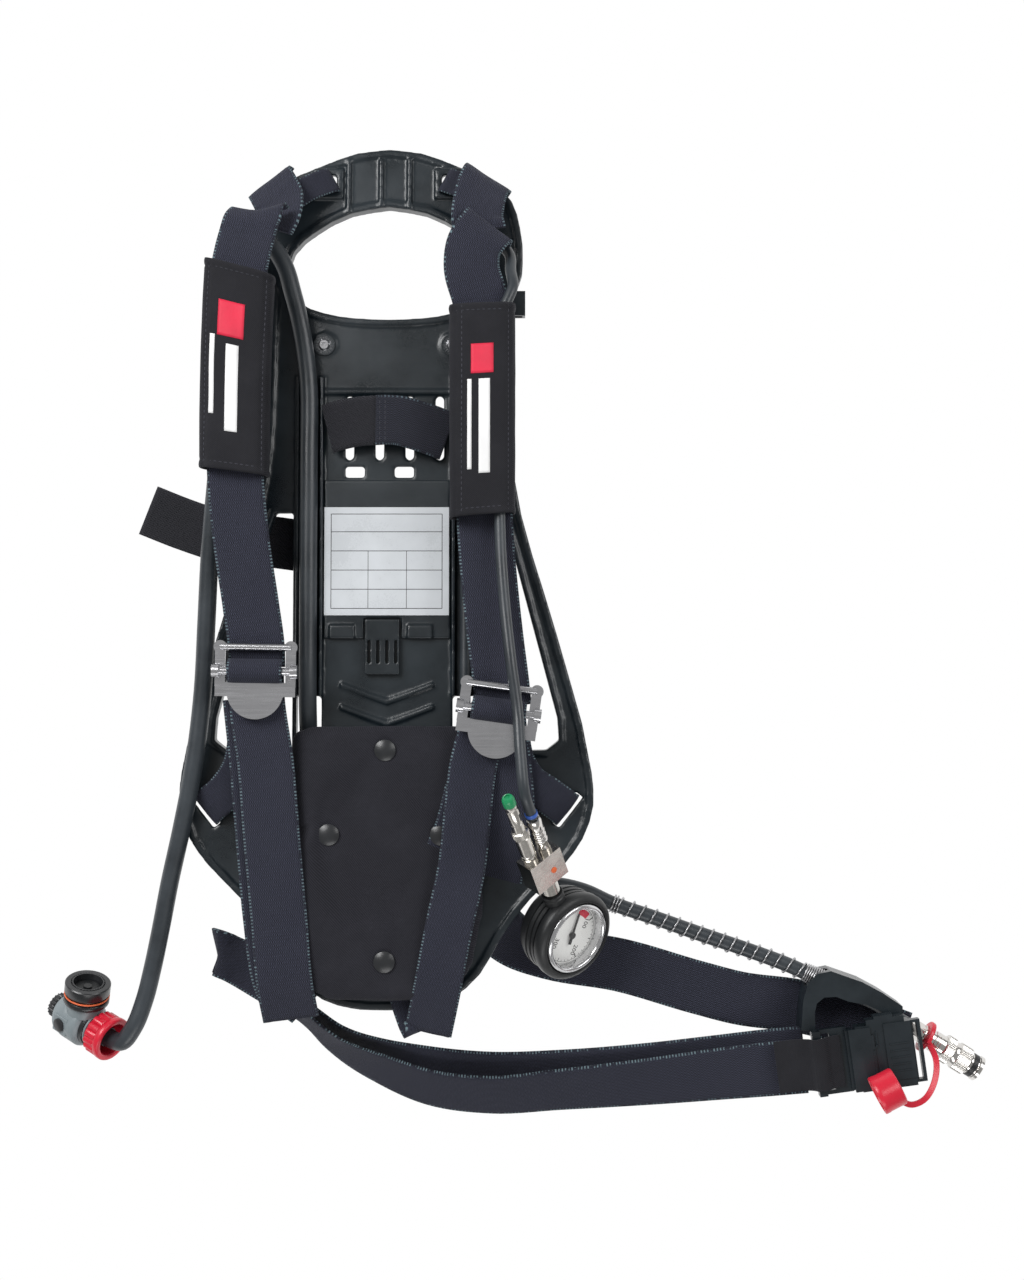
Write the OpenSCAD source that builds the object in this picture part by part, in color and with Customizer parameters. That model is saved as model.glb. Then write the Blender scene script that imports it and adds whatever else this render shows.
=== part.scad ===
// Breathing apparatus carrying set: moulded back plate, harness, pressure
// reducer, gauge line, breathing line with demand valve and quick supply line.
// The set lies on its back. +Y points to the carry handle, +Z to the wearer.

/* [Back plate] */
// Thickness of the moulded skin
skin_t = 4; // [3:0.5:5]
// Depth of the rim around the plate
rim_d = 13; // [8:1:16]
// Width of the rim wall
rim_w = 5; // [3:1:7]
// Height of the hose channel walls above the skin
wall_h = 6; // [3:1:10]

/* [Webbing] */
// Width of all harness webbing
web_w = 40; // [38:1:42]
// Thickness of the webbing
web_t = 2; // [1.5:0.5:2]

/* [Hoses] */
// Outer diameter of the breathing hose
dem_d = 13; // [12:0.5:14]
// Outer diameter of the gauge hose
gau_d = 8; // [6:0.5:9]
// Outer diameter of the quick supply hose
sup_d = 11; // [9:0.5:12]
// Sides of the hose solids
hose_n = 10; // [8:1:12]

/* [Gauge] */
// Outer radius of the rubber boot
boot_r = 33.5; // [32:0.5:34]
// Needle length from its pivot
needle_l = 17; // [12:1:19]

/* [Couplings] */
// Radius of the quick coupling's locking sleeve
qc_r = 10.5; // [10:0.25:11]
// Radius of the socket in the quick coupling
qc_bore = 5; // [4.5:0.1:5.5]
// Outer radius of the cylinder connector's thread
cyl_r = 11.4; // [11:0.1:11.8]
// Radius of the mask port
port_r = 16.5; // [16:0.25:17]

/* [Hidden] */
$fn = 48;
rs = [-1, 1];

// ---------- curve helpers ----------
function dist(a, b) = norm([b[0]-a[0], b[1]-a[1], (len(a) > 2 ? b[2]-a[2] : 0)]);
function tan_at(p, i) = let (n = len(p))
  i == 0 ? (p[1]-p[0])/max(dist(p[0], p[1]), .01)
  : i == n-1 ? (p[n-1]-p[n-2])/max(dist(p[n-2], p[n-1]), .01)
  : let (d1 = dist(p[i-1], p[i]), d2 = dist(p[i], p[i+1]))
    ((p[i]-p[i-1])*d2/d1 + (p[i+1]-p[i])*d1/d2)/(d1+d2);
function hermite(a, b, ma, mb, L, t) = let (t2 = t*t, t3 = t2*t)
  (2*t3-3*t2+1)*a + (t3-2*t2+t)*L*ma + (3*t2-2*t3)*b + (t3-t2)*L*mb;
function spline(p, k) = [for (i = [0:len(p)-2]) for (j = [0:k-1])
  hermite(p[i], p[i+1], tan_at(p, i), tan_at(p, i+1), dist(p[i], p[i+1]), j/k), p[len(p)-1]];
function unit(v) = v/max(norm(v), .0001);
function xyz(v) = [v[0], v[1], v[2]];
function dir_at(q, i) = unit(xyz(q[min(i+1, len(q)-1)]) - xyz(q[max(i-1, 0)]));

// closed solid swept along stations, each a ring of m points
module skin(rings) {
  m = len(rings[0]); n = len(rings);
  polyhedron(points = [for (r = rings) for (p = r) p],
    faces = concat([[for (i = [m-1:-1:0]) i]], [[for (i = [0:m-1]) (n-1)*m+i]],
      [for (k = [0:n-2]) for (i = [0:m-1]) [k*m+i, (k+1)*m+(i+1)%m, (k+1)*m+i]],
      [for (k = [0:n-2]) for (i = [0:m-1]) [k*m+i, k*m+(i+1)%m, (k+1)*m+(i+1)%m]]));
}
module tube(pts, r, k = 3, m = 10, up = [0, 0, 1]) {
  q = spline(pts, k);
  skin([for (i = [0:len(q)-1]) let (t = dir_at(q, i), s = unit(cross(t, up)), u = cross(s, t))
    [for (a = [0:m-1]) xyz(q[i]) + r*(cos(360*a/m)*s + sin(360*a/m)*u)]]);
}
// webbing: each control is [x, y, z, plan angle of the width, tilt of the width]
module web(ctrl, w = web_w, th = web_t, k = 3) {
  q = spline(ctrl, k);
  skin([for (i = [0:len(q)-1]) let (t = dir_at(q, i),
      w0 = [cos(q[i][3])*cos(q[i][4]), sin(q[i][3])*cos(q[i][4]), sin(q[i][4])],
      n = unit(cross(t, w0)), s = cross(n, t), c = xyz(q[i]))
    [c + s*w/2 + n*th/2, c + s*w/2 - n*th/2, c - s*w/2 - n*th/2, c - s*w/2 + n*th/2]]);
}
function mirrored(p) = concat(p, [for (i = [len(p)-1:-1:0]) if (p[i][0] > .5) [-p[i][0], p[i][1]]]);
function inset(p, d) = let (n = len(p)) [for (i = [0:n-1])
  let (t = unit(p[(i+1)%n]-p[(i+n-1)%n])) p[i] + d*[t[1], -t[0]]];
module place(p, az, polar, roll = 0) translate(p) rotate([0, polar, az]) rotate([0, 0, roll]) children();
module bar(x0, x1, y0, y1, z0, z1) translate([x0, y0, z0]) cube([x1-x0, y1-y0, z1-z0]);

// ---------- back plate ----------
// height of the plate's wearer face along its length
top_line = spline([[-320, 58], [-250, 64], [-180, 58], [-100, 51], [0, 45], [100, 40], [190, 34], [250, 28], [300, 22], [330, 18]], 3);
function ztop(y) = lookup(y, top_line);
module band(d0, d1) rotate([90, 0, 90]) linear_extrude(400, center = true)
  polygon(concat([for (p = top_line) [p[0], p[1]-d0]],
                 [for (i = [len(top_line)-1:-1:0]) [top_line[i][0], top_line[i][1]-d1]]));
// right half of the outline, clockwise from the handle's top
edge = mirrored(spline([[0, 322], [24, 319], [53, 308], [78, 296], [91, 282], [97, 262], [99, 236], [96, 220], [87, 214],
  [87, 195], [88, 150], [90, 100], [98, 48], [115, -10], [132, -68], [149, -140], [150, -163], [142, -187], [128, -206],
  [104, -230], [84, -256], [68, -284], [46, -303], [22, -310], [0, -311]], 2));
hand = mirrored(spline([[0, 278], [28, 273], [54, 259], [70, 244], [74, 226], [66, 206], [48, 198], [24, 194], [0, 193]], 2));
wing = [[69, 50], [82, 50], [92, 20], [104, -25], [116, -70], [124, -100], [125, -116], [116, -123], [69, -124]];
module prism(p) translate([0, 0, -5]) linear_extrude(90) polygon(p);
module wing_holes() for (s = rs) scale([s, 1, 1]) prism(wing);
module strap_slots() for (s = rs) translate([s*131, -166, 40]) rotate([0, 0, s*-38]) cube([7, 28, 80], center = true);
module band_slots() {
  for (x = [-28, -6, 16, 38]) { bar(x-3, x+3, 92, 133, 0, 80); translate([x, 92, 0]) cylinder(r = 3, h = 80); translate([x, 133, 0]) cylinder(r = 3, h = 80); }
  for (x = [-24, 12]) bar(x-7, x+7, 76, 84, 0, 80);
}
module back_plate() color([.12, .15, .17]) difference() {
  union() {
    intersection() { prism(edge); band(0, skin_t); }
    // rim walls around the outline, the handle opening and the wing windows
    intersection() { difference() { prism(edge); prism(inset(edge, rim_w)); } band(-1.5, rim_d); }
    intersection() { difference() { prism(inset(hand, -rim_w)); prism(hand); } band(-1.5, rim_d); }
    intersection() { for (s = rs) scale([s, 1, 1]) difference() { prism(inset(wing, -4)); prism(wing); } band(-1.5, rim_d-2); }
    // hose channels
    for (s = rs) for (x = [[47, 49.5], [64, 66.5]])
      intersection() { scale([s, 1, 1]) bar(x[0], x[1], -84, 150, 0, 90); band(-wall_h, 3); }
    // handle ribs and the two strap bosses
    for (x = [-30, -6, 15]) intersection() { bar(x-1.5, x+1.5, 274, 314, 0, 90); band(-2.5, 3); }
    for (s = rs) intersection() { bar(s*45-11, s*45+11, 284, 307, 0, 90); band(-3, 3); }
    // stiffening ribs of the lower panel and the panel step
    for (k = [0, 1]) intersection() { for (s = rs) scale([s, 1, 1]) translate([0, -88-16*k, 0]) rotate([0, 0, 20]) bar(-1, 36, -1.5, 1.5, 0, 90); band(-1.5, 3); }
    intersection() { bar(-46, 46, 138, 141, 0, 90); band(-1.5, 3); }
    // saddle ribs behind the skin for the cylinder pad
    for (x = [-43, 37]) bar(x, x+6, -26, 26, 6, ztop(0)-2.2);
    for (x = [-43, 37]) translate([x-4, -26, 6]) cube([14, 52, 4]);
    // guard frame around the reducer
    for (s = rs) intersection() { bar(s*40-2.5, s*40+2.5, -286, -186, 0, 90); band(2, 40); }
    // seat bosses of the panel screws
    for (s = rs) translate([s*47, 174, ztop(174)-8]) cylinder(r = 9, h = 8.8);
  }
  prism(hand); wing_holes(); strap_slots(); band_slots();
  // the hoses dive behind the plate under the lumbar pad
  for (s = rs) bar(s*56.8-9, s*56.8+9, -152, -84, 0, 90);
  for (s = rs) bar(s*40-4, s*40+4, -256, -216, 0, 34);
  for (s = rs) bar(s*45-6, s*45+6, 289, 302, 0, 90);
  for (s = rs) translate([s*47, 174, 0]) cylinder(r = 2.2, h = 90);
  for (s = rs) translate([s*40, -20, 3]) cylinder(r = 1.8, h = 9);
  for (s = rs) translate([s*40, 20, 3]) cylinder(r = 1.8, h = 9);
}
module centre_cover() color([.11, .14, .16]) difference() {
  union() {
    intersection() { bar(-46, 46, -42, 74, 0, 90); band(-2.6, -.3); }
    for (x = [-33, 24]) intersection() { bar(x-9, x+9, -42, -32, 0, 90); band(-4.4, -1); }
  }
  bar(-17, 10, -43, -27, 0, 90);
}
module cover_latch() color([.11, .14, .16]) difference() {
  intersection() { bar(-16, 9, -68, -28, 0, 90); band(-5, -.3); }
  for (x = [-13, -6.5, 0, 6.5]) bar(x-1, x+1, -60, -43, 0, 90);
}
module rating_label() color([.85, .86, .88]) intersection() { bar(-46, 45, -25, 54, 0, 90); band(-3.1, -2.7); }
module panel_screws() color([.55, .56, .58]) for (s = rs) translate([s*47, 174, ztop(174)+.7]) {
  translate([0, 0, .2]) difference() { cylinder(r = 7.8, h = 1.2); translate([0, 0, -1]) cylinder(r = 2.1, h = 4); }
  translate([0, 0, 1.5]) difference() { cylinder(r1 = 4.4, r2 = 3.2, h = 2); translate([0, 0, .8]) cylinder(r = 1.6, h = 3, $fn = 6); }
  translate([0, 0, -6]) cylinder(r = 2, h = 7.6);
}
module rear_screws() color([.55, .56, .58]) for (s = rs) for (y = [-20, 20]) translate([s*40, y, 4.2]) {
  cylinder(r = 1.7, h = 5); translate([0, 0, -1]) cylinder(r = 3, h = 1.5);
}
module cylinder_pad() color([.06, .06, .07]) difference() {
  bar(-50, 50, -26, 26, 0, 5.8);
  for (s = rs) for (y = [-20, 20]) translate([s*40, y, -1]) cylinder(r = 3.2, h = 8);
  for (x = [-24, -12, 0, 12, 24]) if (x != 0) bar(x-1.5, x+1.5, -22, 22, -1, 1.2);
}
module hose_clip() color([.2, .23, .25]) translate([94.4, 204, 28]) difference() {
  bar(-6.3, 6.3, -9, 9, 0, 12); bar(-4.2, 4.2, -10, 10, 2.5, 9.5); bar(-7, -4, -10, 10, 5, 7);
}

// ---------- lumbar pad ----------
pad = mirrored([[0, -104], [50, -104], [66, -107], [71, -130], [74, -190], [72, -240], [64, -275], [52, -294], [38, -301], [0, -302]]);
module lumbar_pad() color([.14, .14, .17]) difference() {
  intersection() { prism(pad); band(-18, -10); }
  for (p = [[0, -122], [-40, -182], [40, -182], [0, -272]]) translate([p[0], p[1], ztop(p[1])]) cylinder(r = 2.7, h = 30);
}
module pad_snaps() color([.1, .1, .11]) for (p = [[0, -122], [-40, -182], [40, -182], [0, -272]]) translate([p[0], p[1], ztop(p[1])]) {
  translate([0, 0, 19.2]) intersection() { cylinder(r = 7.6, h = 3); translate([0, 0, -14]) sphere(r = 16.5); }
  translate([0, 0, 8]) cylinder(r = 2.4, h = 11.5);
  translate([0, 0, 6.4]) cylinder(r = 6.5, h = 2.2);
}

// ---------- harness ----------
module yoke_loop_left() color([.2, .2, .25]) web([[-46, 296, 28, -60, 0], [-56, 293, 34, -50, 0], [-68, 290, 44, -30, 0], [-78, 280, 54, 15, 0], [-82, 268, 61, 30, 0], [-88, 256, 66, 15, 0]], 30);
module yoke_loop_right() color([.2, .2, .25]) web([[46, 296, 28, -120, 0], [56, 293, 34, -130, 0], [66, 288, 43, -150, 0], [69, 276, 52, -205, 0], [67, 264, 58, -210, 0], [66, 252, 60, -205, 0]], 30);
module shoulder_strap_left() color([.2, .2, .25]) web([[-93, 262, 71, 180, 0], [-98, 244, 79, 172, 0], [-102, 222, 86, 170, 0], [-104, 150, 87, 176, 0], [-105, 82, 89, 178, 0], [-101, 30, 87, 184, 0], [-94, -20, 85, 186, 0], [-90, -52, 85.8, 181, 0]]);
module shoulder_strap_right() color([.2, .2, .25]) web([[71, 255, 66, 160, 0], [64, 243, 69, 170, 0], [62, 226, 72, 180, 0], [68.3, 200, 75.5, 180, 0], [70, 150, 76.5, 180, 0], [70, 82, 79.5, 179, 0], [73, 20, 80, 174, 0], [79, -40, 84, 172, 0], [84, -80, 85.8, 172, 0]]);
// padded sleeves: an oval tube around the strap
function oval(v, e) = sign(v)*pow(abs(v), e);
module sleeve(a, wi, hi) { q = spline(a, 3);
  difference() {
    skin([for (i = [0:len(q)-1]) let (t = dir_at(q, i), s = unit(cross(t, [0, 0, 1])), u = cross(s, t))
      [for (g = [0:15]) xyz(q[i]) + wi*oval(cos(g*22.5), .4)*s + hi*oval(sin(g*22.5), .7)*u]]);
    skin([for (i = [0:len(q)-1]) let (t = dir_at(q, i), s = unit(cross(t, [0, 0, 1])), u = cross(s, t),
        e = (i == 0 ? -2 : i == len(q)-1 ? 2 : 0))
      [for (g = [0:15]) xyz(q[i]) + e*t + (wi-1.6)*oval(cos(g*22.5), .4)*s + (hi-1.6)*oval(sin(g*22.5), .7)*u]]);
  }
}
module sleeve_left() color([.11, .11, .13]) sleeve([[-102, 221, 82], [-105, 150, 83], [-106, 76, 84]], 24.5, 15);
module sleeve_right() color([.11, .11, .13]) sleeve([[70, 195, 79], [70, 120, 81], [70, 45, 84]], 23.6, 14);

// ---------- shoulder buckles, modelled flat with the top bar along X at y = 0 ----------
module buckle() {
  for (s = rs) { translate([s*25, 0, 0]) cylinder(r = 4.6, h = 2.6, center = true); bar(s*25-3.6, s*25+3.6, -28, 0, -1.1, 1.1); }
  rotate([0, 90, 0]) cylinder(r = 2.6, h = 50, center = true);
  translate([0, -17, 4]) rotate([0, 90, 0]) cylinder(r = 2.8, h = 56, center = true);
  for (s = rs) translate([s*27.6, -17, 4]) rotate([0, 90, 0]) cylinder(r = 5, h = 5, center = true);
  for (s = rs) translate([s*25.2, -17, 1.4]) cube([2.6, 8, 4], center = true);
  bar(-28.4, 28.4, -35, -25, -1.2, 1.2);
  translate([0, -31, -1.3]) intersection() { cylinder(r = 20, h = 2.6); bar(-30, 30, -30, 1, -1, 4); }
}
module buckle_left() color([.75, .76, .78]) place([-90, -48, 90], 0, 0, -1) buckle();
module buckle_right() color([.75, .76, .78]) place([84, -76, 90], 0, 0, -8) buckle();
module bar_loop() web([[0, -24, 3, 0, 0], [0, -22, 6.5, 0, 0], [0, -17, 8.4, 0, 0], [0, -11, 6.5, 0, 0], [0, -9, 3, 0, 0]], web_w, 1.6);
module bar_webbing_left() color([.2, .2, .25]) place([-90, -48, 90], 0, 0, -1) bar_loop();
module bar_webbing_right() color([.2, .2, .25]) place([84, -76, 90], 0, 0, -8) bar_loop();

module pull_strap_left() color([.2, .2, .25]) web([[-91, -76, 84, 184, 0], [-84, -130, 84, 184, 0], [-79, -186, 87, 184, 0], [-74, -240, 87, 184, 0], [-70, -290, 84, 186, 0], [-67, -314, 74, 188, 0]]);
module pull_strap_right() color([.2, .2, .25]) web([[72, -100, 81, 172, 6], [64, -130, 82, 173, 8], [60, -160, 85, 175, 6], [56, -200, 87, 172, 0], [46, -248, 89, 168, 0], [38, -290, 85, 164, 0], [31, -324, 72, 164, 0]], 34);
module wing_strap_left() color([.2, .2, .25]) web([[-97, -84, 72, 184, 0], [-99, -112, 71, 178, 0], [-105, -138, 70, 160, 0], [-116, -153, 69, 142, 0], [-126, -161.5, 65, 131, 0], [-130.6, -165.8, 59, 128, 0], [-131.2, -166.2, 50, 128, 0]], 25);
module wing_strap_right() color([.2, .2, .25]) web([[90, -112, 72, 174, 0], [94, -130, 71, 184, 0], [103, -145, 70, 205, 0], [116, -154, 69, 222, 0], [126, -161.5, 65, 229, 0], [130.6, -165.8, 59, 232, 0], [131.2, -166.2, 50, 232, 0]], 25);
module cylinder_band() color([.2, .2, .25]) {
  web([[-43, 111, 47, 96, 0], [-20, 116, 51, 94, 0], [0, 117, 52, 90, 0], [22, 113, 51, 86, 0], [43, 106, 47, 80, 0]], 36, 2.4);
  web([[-60, 26, 26, 100, 0], [-90, 30, 28, 100, 0], [-125, 34, 28, 102, 0], [-150, 42, 28, 108, 0], [-178, 53, 28, 115, 0]], 38, 2.4);
}

// ---------- waist belt ----------
module waist_belt_right() color([.2, .2, .25]) web([[72, -236, 44, 30, 0], [80, -254, 30, 40, 0], [96, -270, 10, 62, 0], [120, -279, 2.2, 76, 0], [172, -288, 1.6, 79, 0], [231, -305, 1.6, 76, 0], [262, -313, 1.6, 77, 0], [307, -319, 1.6, 80, 0], [350, -330, 1.6, 72, 0], [386, -343, 1.6, 70, 0]]);
module waist_belt_left() color([.2, .2, .25]) web([[-52, -330, 30, 60, 20], [-34, -347, 22, 66, 20], [-5, -364, 14, 74, 24], [30, -378, 12, 84, 30], [75, -383, 14, 92, 35], [127, -379, 14, 94, 30], [194, -373, 14, 94, 20], [250, -366, 18, 94, 8], [290, -361, 23, 94, 0], [309, -359, 24.5, 94, 0]]);
module waist_tail_left() color([.2, .2, .25]) web([[-126, -276, 14, -75, 15], [-112, -283, 16, -75, 15], [-96, -292, 18, -72, 15], [-78, -303, 21, -66, 20], [-62, -316, 24, -60, 25]], 32);

// waist buckle, modelled along X with its face up; the male half enters from -X
module bk(x = 0) place([352, -350, 29], 0, 0, 8) translate([x, 0, 0]) children();
module male_shape() difference() {
  union() {
    bar(-38, -12, -24, 24, 0, 4); bar(-38, -32, -24, 24, 0, 9); bar(-14, -8, -22, 22, 0, 10);
    bar(-8, 8, -4, 4, 2.5, 7.5);
  }
  bar(-31, -25, -21, 21, -1, 20);
}
module buckle_male() color([.12, .14, .16]) bk() male_shape();
module prong(s) union() { translate([0, s*17, 2.6]) scale([1, 1, 1]) bar(-7.5, 6, -2, 2, 0, 5); translate([4, s*18, 2.6]) cylinder(r = 3, h = 5); }
module buckle_prong_upper() color([.12, .14, .16]) bk() prong(1);
module buckle_prong_lower() color([.12, .14, .16]) bk() prong(-1);
module buckle_female() color([.12, .14, .16]) bk() difference() {
  union() { bar(-6.5, 34, -24, 24, 0, 12); bar(-12, 4, -23, 23, 10.8, 13.6); bar(2, 30, 23, 28, 3, 12); bar(-6.5, 6, -17, 17, 11, 13.4); bar(14, 34, -18, 24, 11, 13.2); bar(8, 22, 24, 30, 2, 12); bar(34, 42, -23, 23, 2, 8); }
  bar(-8, 22, -22, 22, 1.5, 9.5); bar(-4, 20, -26, 26, 2, 9); bar(36, 39.5, -21, 21, -1, 20);
}
module belt_end_webbing() color([.2, .2, .25]) bk() web([[-66, 0, .5, 90, 0], [-50, 0, 1.5, 90, 0], [-41, 0, 7, 90, 0], [-37, 0, 12.5, 90, 0], [-31, 0, 11, 90, 0], [-27, 0, 7.4, 90, 0], [-23, 0, 6, 90, 0], [-18, 0, 5.6, 90, 0]], 38, 1.6);
// clamp that hooks over the quick supply hose and holds it on the belt
hook = [[305, -332], [306.5, -310], [310, -297], [317, -290], [327, -288], [350, -296], [365, -304], [380, -314], [380, -325],
  [367, -319], [353, -313], [340, -310.5], [331, -307], [322, -307.5], [316.5, -312], [315, -319], [315.5, -332]];
module coupling_holder() color([.1, .11, .12]) difference() {
  translate([0, 0, 3.2]) linear_extrude(25.3) polygon(hook);
  tube([for (i = [8:14]) sup_route[i]], 6.3, 2, 12);
  tube([for (i = [7:11]) sup_route[i]], 9.4, 2, 16);
}

// ---------- hoses: routes in millimetres ----------
dem_route = [[0, -203.4, 22], [0, -192, 22], [-14, -172, 28], [-34, -158, 31], [-50, -146, 35], [-57, -130, 42], [-57, -114, 49], [-57, -98, 54.5], [-57, -80, 57], [-57, -40, 55.5], [-57, 20, 52.5], [-57, 90, 49],
 [-58, 150, 45], [-62, 180, 45], [-69, 210, 45], [-76, 232, 45], [-88, 248, 46], [-103, 250, 52], [-113.5, 239, 66], [-115, 221, 76.5], [-116, 190, 79], [-117, 150, 79], [-117, 100, 79.5], [-120, 68, 79], [-125, 20, 74],
 [-128, -30, 71], [-131, -80, 69], [-137, -130, 69], [-147, -180, 66], [-156, -218, 62], [-163, -252, 59], [-169, -280, 58], [-175, -304, 59], [-182.5, -323, 60], [-191, -333.6, 57.5], [-199.4, -333.8, 51.4], [-206.2, -331, 47]];
module demand_hose() color([.1, .11, .12]) tube(dem_route, dem_d/2, 2, hose_n, [.25, .1, 1]);
gau_pos = [130.6, -255.3, 50];
gau_route = [[18, -211.8, 26], [18, -200, 26], [30, -172, 31], [44, -156, 35], [54, -140, 41], [57, -120, 48], [57, -98, 54], [57, -80, 54.5], [57, -40, 52], [57, 20, 48.5], [57, 90, 45], [57, 150, 42.5], [56, 180, 43], [56, 208, 40], [60, 230, 42], [69, 243, 46], [80, 246, 50], [89, 236, 58], [90, 222, 69], [91.5, 209, 78.5], [85.5, 193, 82.5], [82, 160, 84], [82, 110, 85], [82, 60, 87],
 [83, 20, 92], [86, -20, 98], [90, -56, 105], [95, -94, 109], [97, -124, 118], [100.2, -151.5, 120.5], [103.9, -162.5, 113.2], [105.3, -166.6, 110.2]];
module gauge_hose() color([.1, .11, .12]) tube(gau_route, gau_d/2, 2, 8, [.25, .1, 1]);
sup_route = [[26.2, -244, 22], [38, -244, 22], [84, -232, 14], [120, -226, 9], [145, -231, 8.5], [165, -240, 9], [200, -252, 9.5], [231, -263, 9.5], [270, -276, 11], [298, -286, 14.5], [322, -296.5, 18.3], [345, -306.3, 18.3], [362, -313.6, 18], [377, -324.6, 14.6], [386.8, -330.9, 14]];
module supply_hose() color([.1, .11, .12]) tube(sup_route, sup_d/2, 3, hose_n);
// coiled wire guard around the supply hose, as a thin sleeve
module spring_guard() color([.3, .3, .32]) { q = spline([for (i = [5:10]) sup_route[i]], 3);
  difference() {
    skin([for (i = [0:len(q)-1]) let (t = dir_at(q, i), s = unit(cross(t, [0, 0, 1])), u = cross(s, t), r = 7.6 + (i > len(q)-4 ? 1 : 0))
      [for (a = [0:9]) q[i] + r*(cos(36*a)*s + sin(36*a)*u)]]);
    skin([for (i = [0:len(q)-1]) let (t = dir_at(q, i), s = unit(cross(t, [0, 0, 1])), u = cross(s, t), e = (i == 0 ? -2 : i == len(q)-1 ? 2 : 0))
      [for (a = [0:9]) q[i] + e*t + (sup_d/2+.6)*(cos(36*a)*s + sin(36*a)*u)]]);
  }
}

// ---------- quick coupling ----------
module qc() place([387, -331, 14], -32, 90) children();
module coupling_body() color([.75, .76, .75]) qc() difference() {
  union() { cylinder(r = 7, h = 12, $fn = 6); translate([0, 0, 12]) cylinder(r = 7.5, h = 9); translate([0, 0, 21]) cylinder(r = 8.2, h = 38); translate([0, 0, 59]) cylinder(r = 9.6, h = 3); }
  translate([0, 0, 36]) cylinder(r = qc_bore, h = 40);
  translate([0, 0, -1]) cylinder(r = 3, h = 60);
}
module coupling_sleeve() color([.8, .8, .8]) qc() rotate_extrude() polygon([[8.25, 30], [9.6, 30], [qc_r, 31], [qc_r, 37], [9.4, 38], [9.4, 41], [qc_r, 42], [qc_r, 51], [9.6, 52], [8.25, 52]]);
module dust_cap() color([.85, .1, .2]) {
  qc() rotate_extrude() polygon([[7.56, 14], [12, 14], [12, 17.5], [7.56, 17.5]]);
  web([[399.5, -341, 25, -50, 0], [404, -352, 30, -30, 0], [402, -366, 37, 0, 0], [392, -379, 45, 40, 0], [381, -381, 51, 70, 0], [374, -378, 54, 80, 0]], 4, 1.4);
  place([371, -365, 58.4], 207, 90) difference() { cylinder(r = 14, h = 18); translate([0, 0, 1.6]) cylinder(r = 12.4, h = 20); }
}

// ---------- gauge line ----------
module gf() place(gau_pos, -26.6, 44, 55) children();
module tf() gf() translate([0, 10, 0]) children();
module tee_block() color([.7, .69, .66]) tf() difference() {
  union() {
    bar(-14, 14, 44.5, 69, -8, 8);
    translate([0, 33, 0]) rotate([-90, 0, 0]) cylinder(r = 6.4, h = 12);
    translate([0, 24, 0]) rotate([-90, 0, 0]) cylinder(r = 4.2, h = 23);
    for (p = [[-7, 71], [6, 71]]) translate([p[0], 68, 0]) rotate([-90, 0, 0]) cylinder(r = 5, h = 4);
  }
  translate([0, 23, 0]) rotate([-90, 0, 0]) cylinder(r = 1.5, h = 30);
}
module whistle_body() color([.72, .7, .66]) tf() translate([-7, 72.2, 0]) rotate([-90, 0, 0]) rotate_extrude() polygon([[0, 0], [5.6, 0], [5.6, 20], [6.1, 21], [6.1, 26], [4.5, 27], [4.5, 50], [0, 50]]);
module whistle_tip() color([.1, .6, .35]) tf() translate([-7, 122.4, 0]) rotate([-90, 0, 0]) rotate_extrude() polygon([[0, 0], [4.5, 0], [4.5, 5], [3.4, 8], [0, 8]]);
module hose_ferrule() color([.7, .7, .7]) tf() translate([6, 72.2, 0]) rotate([-90, 0, 0]) difference() { rotate_extrude() polygon([[0, 0], [4.6, 0], [4.6, 6], [5.4, 7], [5.4, 26], [4.8, 27], [4.8, 33], [0, 33]]); translate([0, 0, 27]) cylinder(r = gau_d/2+.1, h = 10); }
// the stub that turns on the tee's spigot belongs to the boot
module gauge_boot() color([.1, .1, .11]) gf() difference() {
  union() { translate([0, 0, -21]) rotate_extrude($fn = 64) polygon([[0, 0], [boot_r-8, 0], [boot_r-4, 4], [boot_r-1, 10], [boot_r-1, 24], [boot_r, 25], [boot_r, 31], [boot_r-2, 33.5], [0, 33.5]]); translate([0, 26, 0]) rotate([-90, 0, 0]) cylinder(r = 8, h = 15); }
  translate([0, 0, -17.4]) cylinder(r = 27.4, h = 50, $fn = 64);
  translate([0, 26, 0]) rotate([-90, 0, 0]) cylinder(r = 4.25, h = 30);
}
module gauge_case() color([.78, .78, .78]) gf() difference() {
  translate([0, 0, -17.2]) rotate_extrude($fn = 64) polygon([[0, 0], [27.2, 0], [27.2, 29.6], [26, 31], [23, 31], [23, 2], [0, 2]]);
  translate([0, 20, 0]) rotate([-90, 0, 0]) cylinder(r = 1.5, h = 10);
}
module gauge_dial() color([.95, .95, .93]) gf() translate([0, 0, 4]) difference() { cylinder(r = 22.8, h = 1, $fn = 64); translate([0, 0, -1]) cylinder(r = 1.5, h = 4); }
module gauge_needle() color([.05, .05, .05]) gf() { translate([0, 0, 2]) cylinder(r = 1.2, h = 5.4); translate([0, 0, 6.2]) cylinder(r = 2.4, h = 1.6); rotate([0, 0, -42]) { bar(-.7, .7, 0, needle_l, 6.4, 7.2); bar(-1.1, 1.1, -7, 0, 6.4, 7.2); } }
module gauge_lens() color([.9, .95, 1, .3]) gf() translate([0, 0, 9.6]) cylinder(r = 22.7, h = 1.6, $fn = 64);
module bourdon_tube() color([.7, .55, .25]) gf() translate([0, 0, -6]) { difference() { cylinder(r = 17, h = 5); translate([0, 0, -1]) cylinder(r = 14, h = 7); bar(-30, 30, -30, -4, -1, 7); } bar(-5, 5, 12, 22.5, -6, 0); bar(-5, 5, -5, 5, -6, 2); }

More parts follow.
